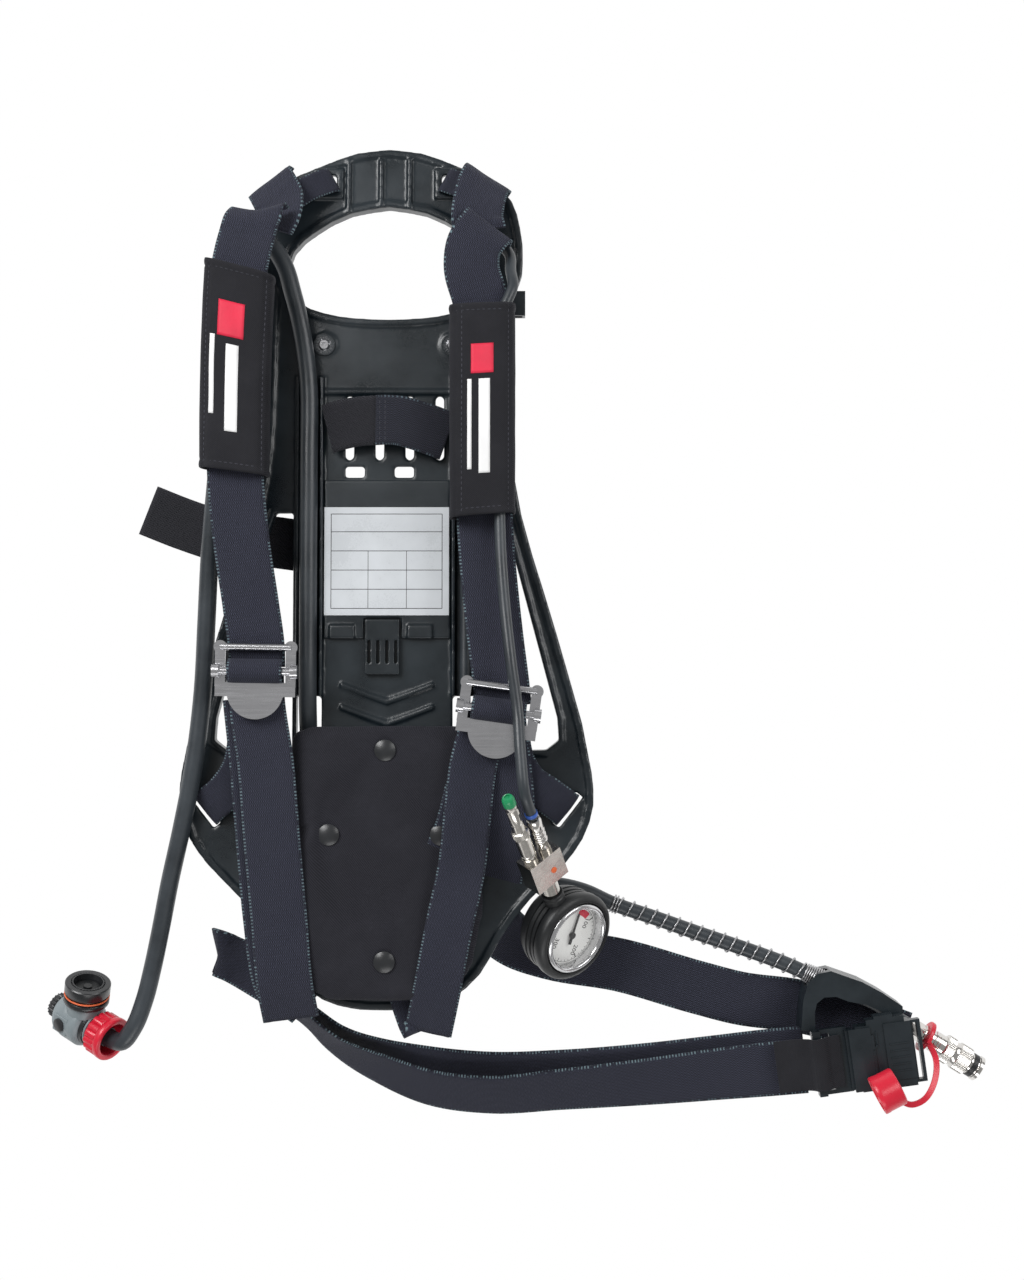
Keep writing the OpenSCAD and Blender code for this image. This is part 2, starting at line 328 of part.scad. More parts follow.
// ---------- lung demand valve: local +Z is the hose end, +Y the mask port ----------
module lf() place([-211, -329, 44], -23, 60, 24) children();
module valve_body() color([.5, .54, .56]) lf() difference() {
  union() {
    translate([0, 0, -38]) rotate_extrude() polygon([[0, 0], [11, 0], [15, 4], [17, 12], [17, 27], [14, 30], [9, 30], [9, 36], [0, 36]]);
    translate([0, 10, -16]) rotate([-90, 0, 0]) rotate_extrude() polygon([[0, 0], [14, 0], [14, 8], [port_r, 8], [port_r, 12], [15.2, 12], [15.2, 16], [port_r, 16], [port_r, 24], [12, 24], [12, 10], [0, 10]]);
    translate([-16, -7, -31]) cube([5, 14, 14]);
  }
  translate([0, 0, -42]) cylinder(r = 7.05, h = 10);
  translate([-20, 0, -24]) rotate([0, 90, 0]) cylinder(r = 5.05, h = 12);
  translate([0, 0, -6]) cylinder(r = 4, h = 10);
}
module valve_knob() color([.1, .1, .11]) lf() translate([0, 0, -46]) { difference() { cylinder(r = 9.5, h = 7.6); for (a = [0:30:330]) rotate([0, 0, a]) translate([10.2, 0, -1]) cylinder(r = 1.4, h = 10); } cylinder(r = 7, h = 13.5); }
module valve_button() color([.85, .1, .2]) lf() translate([-18.5, 0, -24]) rotate([0, 90, 0]) cylinder(r = 5, h = 5.4);
module hose_nut() color([.85, .1, .2]) lf() translate([0, 0, -1.8]) difference() {
  union() { cylinder(r = 15, h = 17); for (a = [0:24:336]) rotate([0, 0, a]) translate([14.4, 0, 1]) cylinder(r = 2, h = 15, $fn = 16); }
  translate([0, 0, -1]) cylinder(r = 9.05, h = 5); translate([0, 0, 3]) cylinder(r = 12, h = 20);
}
module port_seal() color([.9, .35, .2]) lf() translate([0, 24, -16]) rotate([-90, 0, 0]) rotate_extrude() translate([15.9, 0]) circle(r = .65, $fn = 24);

// ---------- pressure reducer behind the lower plate ----------
module rf() place([-22, -236, 22], 0, 90) children();
module reducer_body() color([.72, .71, .68]) difference() {
  union() { rf() cylinder(r = 19, h = 48); rf() translate([0, 0, 4]) cylinder(r = 20, h = 6);
    translate([0, -236, 22]) rotate([-90, 0, 0]) cylinder(r = 10, h = 32);
    translate([-10, -236, 22]) rotate([90, 0, 0]) cylinder(r = 10, h = 30);
    for (p = [[18, -232]]) translate([p[0], p[1], 26]) rotate([-90, 0, 0]) cylinder(r = 6, h = 20);
  }
  rf() translate([0, 0, 3]) cylinder(r = 14.05, h = 36);
  translate([-10, -237, 22]) rotate([90, 0, 0]) cylinder(r = 3, h = 50);
}
module reducer_piston() color([.7, .6, .3]) rf() translate([0, 0, 14]) { cylinder(r = 14, h = 6); translate([0, 0, 6]) cylinder(r = 4, h = 14); }
module reducer_spring() color([.5, .5, .52]) rf() rotate_extrude() { for (k = [0:1]) translate([10.5, 5+k*3.4]) circle(r = 1.2, $fn = 24); }
module cylinder_handwheel() color([.1, .1, .11]) translate([-10, -266, 22]) rotate([90, 0, 0]) difference() {
  union() { translate([0, 0, .4]) cylinder(r = 19, h = 14); translate([0, 0, 14]) cylinder(r = cyl_r, h = 16); }
  for (a = [0:30:330]) rotate([0, 0, a]) translate([20.5, 0, -1]) cylinder(r = 3, h = 20);
  translate([0, 0, -1]) cylinder(r = 3, h = 50);
}

back_plate();
centre_cover();
cover_latch();
rating_label();
lumbar_pad();
pad_snaps();
panel_screws();
rear_screws();
hose_clip();
cylinder_pad();
yoke_loop_left();
yoke_loop_right();
shoulder_strap_left();
shoulder_strap_right();
sleeve_left();
sleeve_right();
bar_webbing_left();
bar_webbing_right();
pull_strap_left();
pull_strap_right();
wing_strap_left();
wing_strap_right();
buckle_left();
buckle_right();
cylinder_band();
waist_belt_right();
waist_belt_left();
waist_tail_left();
buckle_male();
buckle_prong_upper();
buckle_prong_lower();
buckle_female();
belt_end_webbing();
coupling_holder();
demand_hose();
gauge_hose();
supply_hose();
spring_guard();
coupling_body();
coupling_sleeve();
dust_cap();
tee_block();
whistle_body();
whistle_tip();
hose_ferrule();
gauge_boot();
gauge_case();
gauge_dial();
gauge_needle();
gauge_lens();
bourdon_tube();
valve_body();
valve_knob();
valve_button();
hose_nut();
port_seal();
reducer_body();
reducer_piston();
reducer_spring();
cylinder_handwheel();
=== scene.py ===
import bpy, bmesh, math, random
from mathutils import Vector, Matrix, noise


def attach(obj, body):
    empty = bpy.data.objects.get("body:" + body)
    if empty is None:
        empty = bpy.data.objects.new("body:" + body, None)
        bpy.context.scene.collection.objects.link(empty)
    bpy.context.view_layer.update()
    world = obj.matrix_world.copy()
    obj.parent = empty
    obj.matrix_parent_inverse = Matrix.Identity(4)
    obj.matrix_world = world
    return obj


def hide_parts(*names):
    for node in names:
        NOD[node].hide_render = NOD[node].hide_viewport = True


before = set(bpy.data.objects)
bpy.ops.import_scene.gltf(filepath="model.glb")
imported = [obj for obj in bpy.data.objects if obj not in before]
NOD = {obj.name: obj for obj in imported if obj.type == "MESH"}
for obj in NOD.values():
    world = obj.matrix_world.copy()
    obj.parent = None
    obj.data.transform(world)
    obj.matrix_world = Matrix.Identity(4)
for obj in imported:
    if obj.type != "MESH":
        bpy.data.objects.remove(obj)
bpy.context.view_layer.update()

rnd = random.Random(7)
TAU = 2 * math.pi

# ------------------------------------------------------------------ camera
scene = bpy.context.scene
cam_d = bpy.data.cameras.new("camera")
cam = bpy.data.objects.new("camera", cam_d)
scene.collection.objects.link(cam)
cam.location = (0.091, -0.043, 1.4)
cam.rotation_euler = (0, 0, 0)
cam_d.lens = 52.15
cam_d.sensor_width = 36
cam_d.clip_start = 0.05
scene.camera = cam

# ------------------------------------------------------------------ curves, the same as in the CAD file
def vsub(a, b): return [x - y for x, y in zip(a, b)]
def vadd(a, b): return [x + y for x, y in zip(a, b)]
def vmul(a, k): return [x * k for x in a]
def dist3(a, b): return math.sqrt(sum((x - y) ** 2 for x, y in zip(a[:3], b[:3])))
def tan_at(p, i):
    n = len(p)
    if i == 0: return vmul(vsub(p[1], p[0]), 1 / max(dist3(p[0], p[1]), .01))
    if i == n - 1: return vmul(vsub(p[n-1], p[n-2]), 1 / max(dist3(p[n-2], p[n-1]), .01))
    d1, d2 = dist3(p[i-1], p[i]), dist3(p[i], p[i+1])
    return vmul(vadd(vmul(vsub(p[i], p[i-1]), d2 / d1), vmul(vsub(p[i+1], p[i]), d1 / d2)), 1 / (d1 + d2))
def spline(p, k):
    out = []
    for i in range(len(p) - 1):
        a, b, ma, mb, L = p[i], p[i+1], tan_at(p, i), tan_at(p, i+1), dist3(p[i], p[i+1])
        for j in range(k):
            t = j / k; t2 = t * t; t3 = t2 * t
            out.append([(2*t3-3*t2+1)*a[c] + (t3-2*t2+t)*L*ma[c] + (3*t2-2*t3)*b[c] + (t3-t2)*L*mb[c] for c in range(len(a))])
    out.append(list(p[-1]))
    return out
def V(p): return Vector((p[0], p[1], p[2]))
def frame_at(pos, az, polar, roll=0):
    M = Matrix.Rotation(math.radians(az), 4, 'Z') @ Matrix.Rotation(math.radians(polar), 4, 'Y') @ Matrix.Rotation(math.radians(roll), 4, 'Z')
    return Matrix.Translation(Vector(pos) * .001) @ M

# ------------------------------------------------------------------ mesh helpers
def new_obj(name, verts, faces, mat, body, slot=None, rep=(), smooth=True, uvs=None, angle=None, ride=True):
    me = bpy.data.meshes.new(name)
    me.from_pydata([tuple(v) for v in verts], [], faces)
    if uvs is not None:
        uv = me.uv_layers.new(name="UVMap")
        for poly in me.polygons:
            for li in poly.loop_indices:
                uv.data[li].uv = uvs[me.loops[li].vertex_index]
    me.validate()
    me.update()
    o = bpy.data.objects.new(name, me)
    scene.collection.objects.link(o)
    if mat is not None: me.materials.append(mat)
    if smooth:
        for p in me.polygons: p.use_smooth = True
    if angle is not None: me.set_sharp_from_angle(angle=math.radians(angle))
    if ride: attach(o, body)
    if rep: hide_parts(*rep)
    return o
def fix_normals(o):
    bm = bmesh.new(); bm.from_mesh(o.data); bmesh.ops.recalc_face_normals(bm, faces=bm.faces); bm.to_mesh(o.data); bm.free()
class Geo:
    """collects many small shapes into one mesh"""
    def __init__(s): s.v = []; s.f = []
    def add(s, v, f):
        n = len(s.v); s.v += [tuple(p) for p in v]; s.f += [tuple(i + n for i in q) for q in f]
    def box(s, M, x0, x1, y0, y1, z0, z1, k=.001):
        c = [(x, y, z) for z in (z0, z1) for y in (y0, y1) for x in (x0, x1)]
        s.add([M @ (Vector(p) * k) for p in c], [(0, 2, 3, 1), (4, 5, 7, 6), (0, 1, 5, 4), (2, 6, 7, 3), (0, 4, 6, 2), (1, 3, 7, 5)])
    def lathe(s, M, prof, seg=48, k=.001, a0=0, a1=TAU):
        """prof: (r, z) from the axis back to the axis, outer side counted upward"""
        n = len(prof); v = []; f = []
        for j in range(seg):
            a = a0 + (a1 - a0) * j / seg
            for r, z in prof: v.append(M @ (Vector((max(r, 0.001) * math.cos(a), max(r, 0.001) * math.sin(a), z)) * k))
        for j in range(seg):
            for i in range(n - 1):
                a, b = j * n + i, ((j + 1) % seg) * n + i
                f.append((a, b, b + 1, a + 1))
        f.append(tuple(j * n for j in range(seg - 1, -1, -1)))
        f.append(tuple(j * n + n - 1 for j in range(seg)))
        s.add(v, f)
    def ring(s, M, prof, seg=48, k=.001):
        """closed profile turned round the axis"""
        n = len(prof); v = []; f = []
        for j in range(seg):
            a = TAU * j / seg
            for r, z in prof: v.append(M @ (Vector((r * math.cos(a), r * math.sin(a), z)) * k))
        for j in range(seg):
            for i in range(n):
                a, b, c, d = j * n + i, ((j + 1) % seg) * n + i, ((j + 1) % seg) * n + (i + 1) % n, j * n + (i + 1) % n
                f.append((a, b, c, d))
        s.add(v, f)
    def prism(s, M, poly, z0, z1, k=.001):
        n = len(poly)
        s.add([M @ (Vector((x, y, z0)) * k) for x, y in poly] + [M @ (Vector((x, y, z1)) * k) for x, y in poly],
              [tuple(range(n - 1, -1, -1)), tuple(range(n, 2 * n))] + [(i, (i + 1) % n, n + (i + 1) % n, n + i) for i in range(n)])
    def tube(s, pts, r, m=12, up=(0, 0, 1), caps=True):
        up = Vector(up); q = [Vector(p) for p in pts]; v = []; f = []; n = len(q); last = None
        for i in range(n):
            t = (q[min(i+1, n-1)] - q[max(i-1, 0)]).normalized()
            if last is None:
                sd = t.cross(up)
                if sd.length < 1e-4: sd = t.cross(Vector((1, .2, 0)))
                sd.normalize()
            else:
                sd = last - t * last.dot(t); sd.normalize()
            last = sd; u = t.cross(sd)
            rr = r(i / (n - 1)) if callable(r) else r
            for a in range(m):
                c, e = math.cos(TAU * a / m), math.sin(TAU * a / m)
                v.append(q[i] + rr * (c * sd + e * u))
        for i in range(n - 1):
            for a in range(m):
                f.append((i*m + a, i*m + (a+1) % m, (i+1)*m + (a+1) % m, (i+1)*m + a))
        if caps:
            f.append(tuple(range(m - 1, -1, -1))); f.append(tuple((n-1)*m + a for a in range(m)))
        s.add(v, f)
    def obj(s, name, mat, body, **k):
        o = new_obj(name, s.v, s.f, mat, body, **k); fix_normals(o); return o
def bevel(o, w=.0004, seg=2, angle=35):
    m = o.modifiers.new("bevel", 'BEVEL'); m.width = w; m.segments = seg; m.limit_method = 'ANGLE'; m.angle_limit = math.radians(angle); m.harden_normals = False
    return m
def smooth_by_angle(o, a=35):
    for p in o.data.polygons: p.use_smooth = True
    o.data.set_sharp_from_angle(angle=math.radians(a))

# ------------------------------------------------------------------ material helpers
class Mat:
    def __init__(s, name, base, rough=.5, metal=0, **kw):
        m = s.m = bpy.data.materials.new(name); m.use_nodes = True
        s.nt = m.node_tree; s.n = s.nt.nodes; s.l = s.nt.links
        s.b = s.n["Principled BSDF"]
        s.b.inputs["Base Color"].default_value = (*base, 1)
        s.b.inputs["Roughness"].default_value = rough
        s.b.inputs["Metallic"].default_value = metal
        for k, v in kw.items(): s.b.inputs[k.replace("_", " ")].default_value = v
        s.base = base; s.hb = None
    def node(s, t, **kw):
        n = s.n.new(t)
        for k, v in kw.items():
            setattr(n, k, v)
        return n
    def put(s, sock, v):
        if isinstance(v, bpy.types.NodeSocket): s.l.new(v, sock)
        elif isinstance(v, (tuple, list)): sock.default_value = (*v, 1) if len(sock.default_value) == 4 and len(v) == 3 else v
        else: sock.default_value = v
    def coord(s, kind="Object"):
        if not hasattr(s, "_tc"): s._tc = s.node("ShaderNodeTexCoord")
        return s._tc.outputs[kind]
    def math(s, op, a, b=0.0, c=0.0, clamp=False):
        n = s.node("ShaderNodeMath", operation=op, use_clamp=clamp)
        s.put(n.inputs[0], a); s.put(n.inputs[1], b); s.put(n.inputs[2], c)
        return n.outputs[0]
    def noise(s, scale, detail=3, rough=.5, vec=None, dist=0):
        n = s.node("ShaderNodeTexNoise"); s.l.new(vec or s.coord(), n.inputs["Vector"])
        n.inputs["Scale"].default_value = scale; n.inputs["Detail"].default_value = detail; n.inputs["Roughness"].default_value = rough; n.inputs["Distortion"].default_value = dist
        return n.outputs["Fac"]
    def mapping(s, vec, scale=(1, 1, 1), rot=(0, 0, 0), loc=(0, 0, 0)):
        n = s.node("ShaderNodeMapping"); s.l.new(vec, n.inputs["Vector"]); n.inputs["Scale"].default_value = scale; n.inputs["Rotation"].default_value = rot; n.inputs["Location"].default_value = loc
        return n.outputs[0]
    def sep(s, vec):
        n = s.node("ShaderNodeSeparateXYZ"); s.l.new(vec, n.inputs[0]); return n.outputs
    def mix(s, f, a, b, blend='MIX'):
        n = s.node("ShaderNodeMix", data_type='RGBA', blend_type=blend)
        s.put(n.inputs["Factor"], f); s.put(n.inputs[6], a); s.put(n.inputs[7], b)
        return n.outputs[2]
    def ramp(s, f, lo, hi):
        """0 at lo, 1 at hi, smooth"""
        n = s.node("ShaderNodeMapRange", interpolation_type='SMOOTHSTEP'); s.put(n.inputs[0], f); n.inputs[1].default_value = lo; n.inputs[2].default_value = hi
        return n.outputs[0]
    def lerp(s, f, lo, hi, a=0.0, b=1.0):
        n = s.node("ShaderNodeMapRange"); s.put(n.inputs[0], f); n.inputs[1].default_value = a; n.inputs[2].default_value = b; n.inputs[3].default_value = lo; n.inputs[4].default_value = hi
        return n.outputs[0]
    def color(s, c): s.put(s.b.inputs["Base Color"], c)
    def rough(s, r): s.put(s.b.inputs["Roughness"], r)
    def bump(s, h, dist=.0002, strength=1):
        n = s.node("ShaderNodeBump"); n.inputs["Strength"].default_value = strength; n.inputs["Distance"].default_value = dist
        s.l.new(h, n.inputs["Height"])
        if s.hb is not None: s.l.new(s.hb, n.inputs["Normal"])
        s.hb = n.outputs[0]; s.l.new(s.hb, s.b.inputs["Normal"])

def plastic(name, base, rough=.45, grain=2600, depth=.00006, var=.25, spec=.5, scuff=True, coat=0):
    m = Mat(name, base, rough)
    m.b.inputs["Specular IOR Level"].default_value = spec
    if coat: m.b.inputs["Coat Weight"].default_value = coat; m.b.inputs["Coat Roughness"].default_value = .12
    big = m.noise(22, 4, .6); fine = m.noise(grain, 2, .5)
    hi = tuple(min(1, c * (1 + var) + .004) for c in base); lo = tuple(c * (1 - var) for c in base)
    col = m.mix(m.ramp(big, .3, .7), lo, hi)
    if scuff:
        sc = m.noise(1, 5, .7, vec=m.mapping(m.coord(), (90, 700, 300), rot=(.3, .2, .7)))
        scm = m.math('MULTIPLY', m.ramp(sc, .64, .78), .25)
        col = m.mix(scm, col, tuple(min(1, c * 2.2 + .02) for c in base))
    m.color(col)
    r = m.lerp(m.math('ADD', m.math('MULTIPLY', big, .7), m.math('MULTIPLY', fine, .3)), rough - .09, rough + .1, .3, .7)
    m.rough(r)
    m.bump(fine, depth)
    return m.m
def metal(name, base, rough=.25, brush=(1, 1, 1), amt=.08, depth=.00002, metalness=1.0, stain=.15):
    m = Mat(name, base, rough, metalness)
    b = m.noise(1, 4, .6, vec=m.mapping(m.coord(), brush)); big = m.noise(60, 4, .6)
    m.color(m.mix(m.ramp(big, .35, .75), base, tuple(c * (1 - stain) for c in base)))
    m.rough(m.lerp(m.math('ADD', m.math('MULTIPLY', b, .6), m.math('MULTIPLY', big, .4)), max(.03, rough - amt), rough + amt, .3, .7))
    m.bump(b, depth)
    return m.m
def twill(name, base, pitch=.0011, depth=.00022, rough=.85, sheen=.07, tint=(.5, .52, .6), fuzz=.35, box=True):
    """diagonal cloth by place in space, so it needs no UVs"""
    m = Mat(name, base, rough)
    m.b.inputs["Sheen Weight"].default_value = sheen; m.b.inputs["Sheen Roughness"].default_value = .5; m.b.inputs["Sheen Tint"].default_value = (*tint, 1)
    m.b.inputs["Specular IOR Level"].default_value = .25
    x, y, z = m.sep(m.coord())
    d1 = m.math('SINE', m.math('MULTIPLY', m.math('ADD', m.math('ADD', x, m.math('MULTIPLY', y, .85)), m.math('MULTIPLY', z, .6)), TAU / pitch))
    d2 = m.math('SINE', m.math('MULTIPLY', m.math('ADD', m.math('SUBTRACT', m.math('MULTIPLY', x, .35), y), m.math('MULTIPLY', z, .8)), TAU / (pitch * .62)))
    h = m.math('ADD', m.math('MULTIPLY', d1, .35), m.math('ADD', m.math('MULTIPLY', d2, .18), .5))
    lint = m.noise(900, 3, .7); big = m.noise(26, 4, .6)
    h2 = m.math('ADD', h, m.math('MULTIPLY', lint, fuzz))
    dark = tuple(c * .55 for c in base); lite = tuple(min(1, c * 1.5 + .006) for c in base)
    col = m.mix(m.ramp(h2, .25, 1.05), dark, lite)
    col = m.mix(m.math('MULTIPLY', m.ramp(big, .4, .75), .35), col, tuple(min(1, c * 1.7 + .01) for c in base))
    m.color(col)
    m.bump(h2, depth)
    return m
def webbing(name, base, edge, w=.04, rib=.0025, depth=.0006, rough=.8):
    """UV x runs along the strap in metres, UV y runs 0 to 1 across it"""
    m = Mat(name, base, rough)
    m.b.inputs["Sheen Weight"].default_value = .06; m.b.inputs["Sheen Roughness"].default_value = .45; m.b.inputs["Sheen Tint"].default_value = (.6, .62, .75, 1)
    m.b.inputs["Specular IOR Level"].default_value = .3
    u, v, _ = m.sep(m.coord("UV"))
    vm = m.math('MULTIPLY', v, w)
    # warp yarns along the strap, weft ribs across it, shifted from yarn to yarn
    yarn = m.math('SINE', m.math('MULTIPLY', vm, TAU / .0013))
    shift = m.math('MULTIPLY', m.math('SIGN', yarn), .25)
    wob = m.math('MULTIPLY', m.noise(60, 3, .6), .6)
    ribs = m.math('SINE', m.math('MULTIPLY', m.math('ADD', m.math('ADD', m.math('DIVIDE', u, rib), shift), wob), TAU))
    h = m.math('ADD', m.math('MULTIPLY', ribs, .34), m.math('ADD', m.math('MULTIPLY', yarn, .2), .5))
    lint = m.noise(1400, 3, .7)
    h2 = m.math('ADD', h, m.math('MULTIPLY', lint, .3))
    big = m.noise(30, 4, .6)
    col = m.mix(m.ramp(h2, .35, 1.0), tuple(c * .12 for c in base), tuple(min(1, c * 2.9 + .009) for c in base))
    col = m.mix(m.math('MULTIPLY', m.ramp(big, .35, .75), .2), col, tuple(min(1, c * 1.5 + .01) for c in base))
    # selvedge with a pale thread that shows in dots
    e = m.math('ABSOLUTE', m.math('SUBTRACT', v, .5))
    em = m.math('MULTIPLY', m.ramp(e, .452, .47), 1.0)
    dots = m.ramp(m.math('SINE', m.math('MULTIPLY', m.math('ADD', u, m.math('MULTIPLY', v, .0009)), TAU / .0024)), -.1, .7)
    dl = m.math('MULTIPLY', em, m.math('MULTIPLY', dots, m.ramp(m.noise(260, 2, .5), .38, .56)))
    col = m.mix(m.math('MULTIPLY', em, .45), col, tuple(c * .8 for c in base))
    col = m.mix(dl, col, edge)
    m.color(col)
    m.bump(h2, depth)
    return m.m

M_plate = plastic("plate_plastic", (.0065, .0115, .0155), .31, depth=.00005, spec=.5)
M_cover = plastic("cover_plastic", (.0065, .011, .0145), .34, depth=.00006)
M_buckle_p = plastic("buckle_plastic", (.0085, .0135, .0175), .3, grain=1800, depth=.00006, spec=.5)
M_web = webbing("webbing", (.0125, .0138, .0245), (.16, .23, .26))
M_web_band = webbing("webbing_band", (.0095, .0105, .0175), (.1, .14, .17), w=.036, rib=.0024)
M_sleeve = twill("sleeve_cloth", (.0095, .0095, .0125), .0012, .00022)
M_sleeve = M_sleeve.m
M_pad = twill("pad_cloth", (.011, .011, .016), .0016, .0003).m
M_pile = twill("loop_pile", (.009, .009, .012), .0022, .0008, fuzz=1.6, sheen=.12).m
M_thread = plastic("thread", (.035, .037, .05), .7, scuff=False)
M_hose = plastic("hose_rubber", (.026, .032, .038), .36, grain=900, depth=.00004, spec=.5)
M_boot = plastic("boot_rubber", (.0085, .0095, .0105), .42, grain=1500, depth=.0001)
M_red = plastic("red_plastic", (.62, .012, .035), .3, grain=900, depth=.00003, var=.12, scuff=False)
M_green = plastic("green_plastic", (.012, .27, .1), .3, grain=900, depth=.00003, var=.1, scuff=False)
M_orange = plastic("orange_rubber", (.72, .13, .035), .5, grain=900, depth=.00005, var=.12, scuff=False)
M_blue = plastic("blue_ring", (.03, .1, .42), .35, grain=900, depth=.00003, var=.1, scuff=False)
M_grey = plastic("valve_grey", (.2, .235, .25), .42, grain=1500, depth=.00006, var=.12)
M_snap = plastic("snap_plastic", (.014, .015, .017), .3, grain=1500, depth=.00004)
M_steel = metal("buckle_steel", (.66, .66, .68), .24, brush=(40, 900, 400), amt=.1, depth=.00003)
M_nickel = metal("nickel", (.66, .63, .585), .2, brush=(300, 300, 900), amt=.07)
M_chrome = metal("coupling_nickel", (.74, .72, .69), .14, brush=(300, 300, 900), amt=.06)
M_case = metal("case_steel", (.7, .7, .71), .18, brush=(500, 500, 500), amt=.06)
M_wire = metal("guard_wire", (.46, .46, .47), .32, brush=(300, 300, 300), amt=.1, stain=.3)
M_brass = metal("brass", (.6, .42, .16), .28, brush=(200, 200, 200))
M_white = plastic("dial_white", (.86, .86, .84), .4, grain=900, depth=.00001, var=.03, scuff=False)
M_ink = plastic("dial_ink", (.012, .012, .014), .5, grain=900, depth=.00001, scuff=False)
M_label = plastic("label_film", (.56, .585, .61), .3, grain=900, depth=.00001, var=.05, scuff=False)
M_rib = plastic("print_white", (.8, .8, .8), .6, grain=700, depth=.0001, var=.06, scuff=False)
M_printred = plastic("print_red", (.62, .01, .045), .6, grain=700, depth=.0001, var=.12, scuff=False)

# ------------------------------------------------------------------ hoses come first
dem_route = [[0, -203.4, 22], [0, -192, 22], [-14, -172, 28], [-34, -158, 31], [-50, -146, 35], [-57, -130, 42], [-57, -114, 49], [-57, -98, 54.5], [-57, -80, 57], [-57, -40, 55.5], [-57, 20, 52.5], [-57, 90, 49],
 [-58, 150, 45], [-62, 180, 45], [-69, 210, 45], [-76, 232, 45], [-88, 248, 46], [-103, 250, 52], [-113.5, 239, 66], [-115, 221, 76.5], [-116, 190, 79], [-117, 150, 79], [-117, 100, 79.5], [-120, 68, 79], [-125, 20, 74],
 [-128, -30, 71], [-131, -80, 69], [-137, -130, 69], [-147, -180, 66], [-156, -218, 62], [-163, -252, 59], [-169, -280, 58], [-175, -304, 59], [-182.5, -323, 60], [-191, -333.6, 57.5], [-199.4, -333.8, 51.4], [-206.2, -331, 47]]
gau_route = [[18, -211.8, 26], [18, -200, 26], [30, -172, 31], [44, -156, 35], [54, -140, 41], [57, -120, 48], [57, -98, 54], [57, -80, 54.5], [57, -40, 52], [57, 20, 48.5], [57, 90, 45], [57, 150, 42.5], [56, 180, 43], [56, 208, 40], [60, 230, 42], [69, 243, 46], [80, 246, 50], [89, 236, 58], [90, 222, 69], [91.5, 209, 78.5], [85.5, 193, 82.5], [82, 160, 84], [82, 110, 85], [82, 60, 87],
 [83, 20, 92], [86, -20, 98], [90, -56, 105], [95, -94, 109], [97, -124, 118], [100.2, -151.5, 120.5], [103.9, -162.5, 113.2], [105.3, -166.6, 110.2]]
sup_route = [[26.2, -244, 22], [38, -244, 22], [84, -232, 14], [120, -226, 9], [145, -231, 8.5], [165, -240, 9], [200, -252, 9.5], [231, -263, 9.5], [270, -276, 11], [298, -286, 14.5], [322, -296.5, 18.3], [345, -306.3, 18.3], [362, -313.6, 18], [377, -324.6, 14.6], [386.8, -330.9, 14]]
def hose(name, route, d, node, up=(.25, .1, 1), k=6, m=24):
    pts = [Vector(p[:3]) * .001 for p in spline(route, k)]
    g = Geo(); g.tube(pts, d / 2, m, up)
    o = g.obj(name, M_hose, "root", slot="hose_rubber", rep=(node,))
    return o, pts
dem_o, dem_pts = hose("demand_hose_tube", dem_route, .013, "demand_hose")
gau_o, gau_pts = hose("gauge_hose_tube", gau_route, .008, "gauge_hose", m=18)
sup_o, sup_pts = hose("supply_hose_tube", sup_route, .011, "supply_hose", m=20)

# ------------------------------------------------------------------ plate
top_line = None
def ztop(y):
    global top_line
    if top_line is None:
        q = spline([[a, b, 0] for a, b in [[-320, 58], [-250, 64], [-180, 58], [-100, 51], [0, 45], [100, 40], [190, 34], [250, 28], [300, 22], [330, 18]]], 3)
        top_line = [(p[0], p[1]) for p in q]
    for (a, b), (c, d) in zip(top_line, top_line[1:]):
        if a <= y <= c: return b + (d - b) * (y - a) / (c - a)
    return top_line[0][1] if y < top_line[0][0] else top_line[-1][1]

def remeshed(name, node, vox, mat, body, it=3, dec=None):
    src = NOD[node]
    me = src.data.copy(); me.transform(src.matrix_world); o = bpy.data.objects.new(name, me); scene.collection.objects.link(o)
    m = o.modifiers.new("r", 'REMESH'); m.mode = 'VOXEL'; m.voxel_size = vox; m.adaptivity = 0
    if it:
        s = o.modifiers.new("s", 'SMOOTH'); s.factor = .5; s.iterations = it
    dg = bpy.context.evaluated_depsgraph_get(); ev = o.evaluated_get(dg)
    me2 = bpy.data.meshes.new_from_object(ev, preserve_all_data_layers=False, depsgraph=dg)
    o.modifiers.clear(); o.data = me2; o.name = name
    me2.materials.clear(); me2.materials.append(mat)
    for p in me2.polygons: p.use_smooth = True
    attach(o, body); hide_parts(node)
    return o
plate = remeshed("back_plate_shell", "back_plate", .0011, M_plate, "root", 2)
cover = remeshed("centre_cover_shell", "centre_cover", .0009, M_cover, "root", 2)
latch = remeshed("cover_latch_shell", "cover_latch", .0006, M_cover, "root", 2)

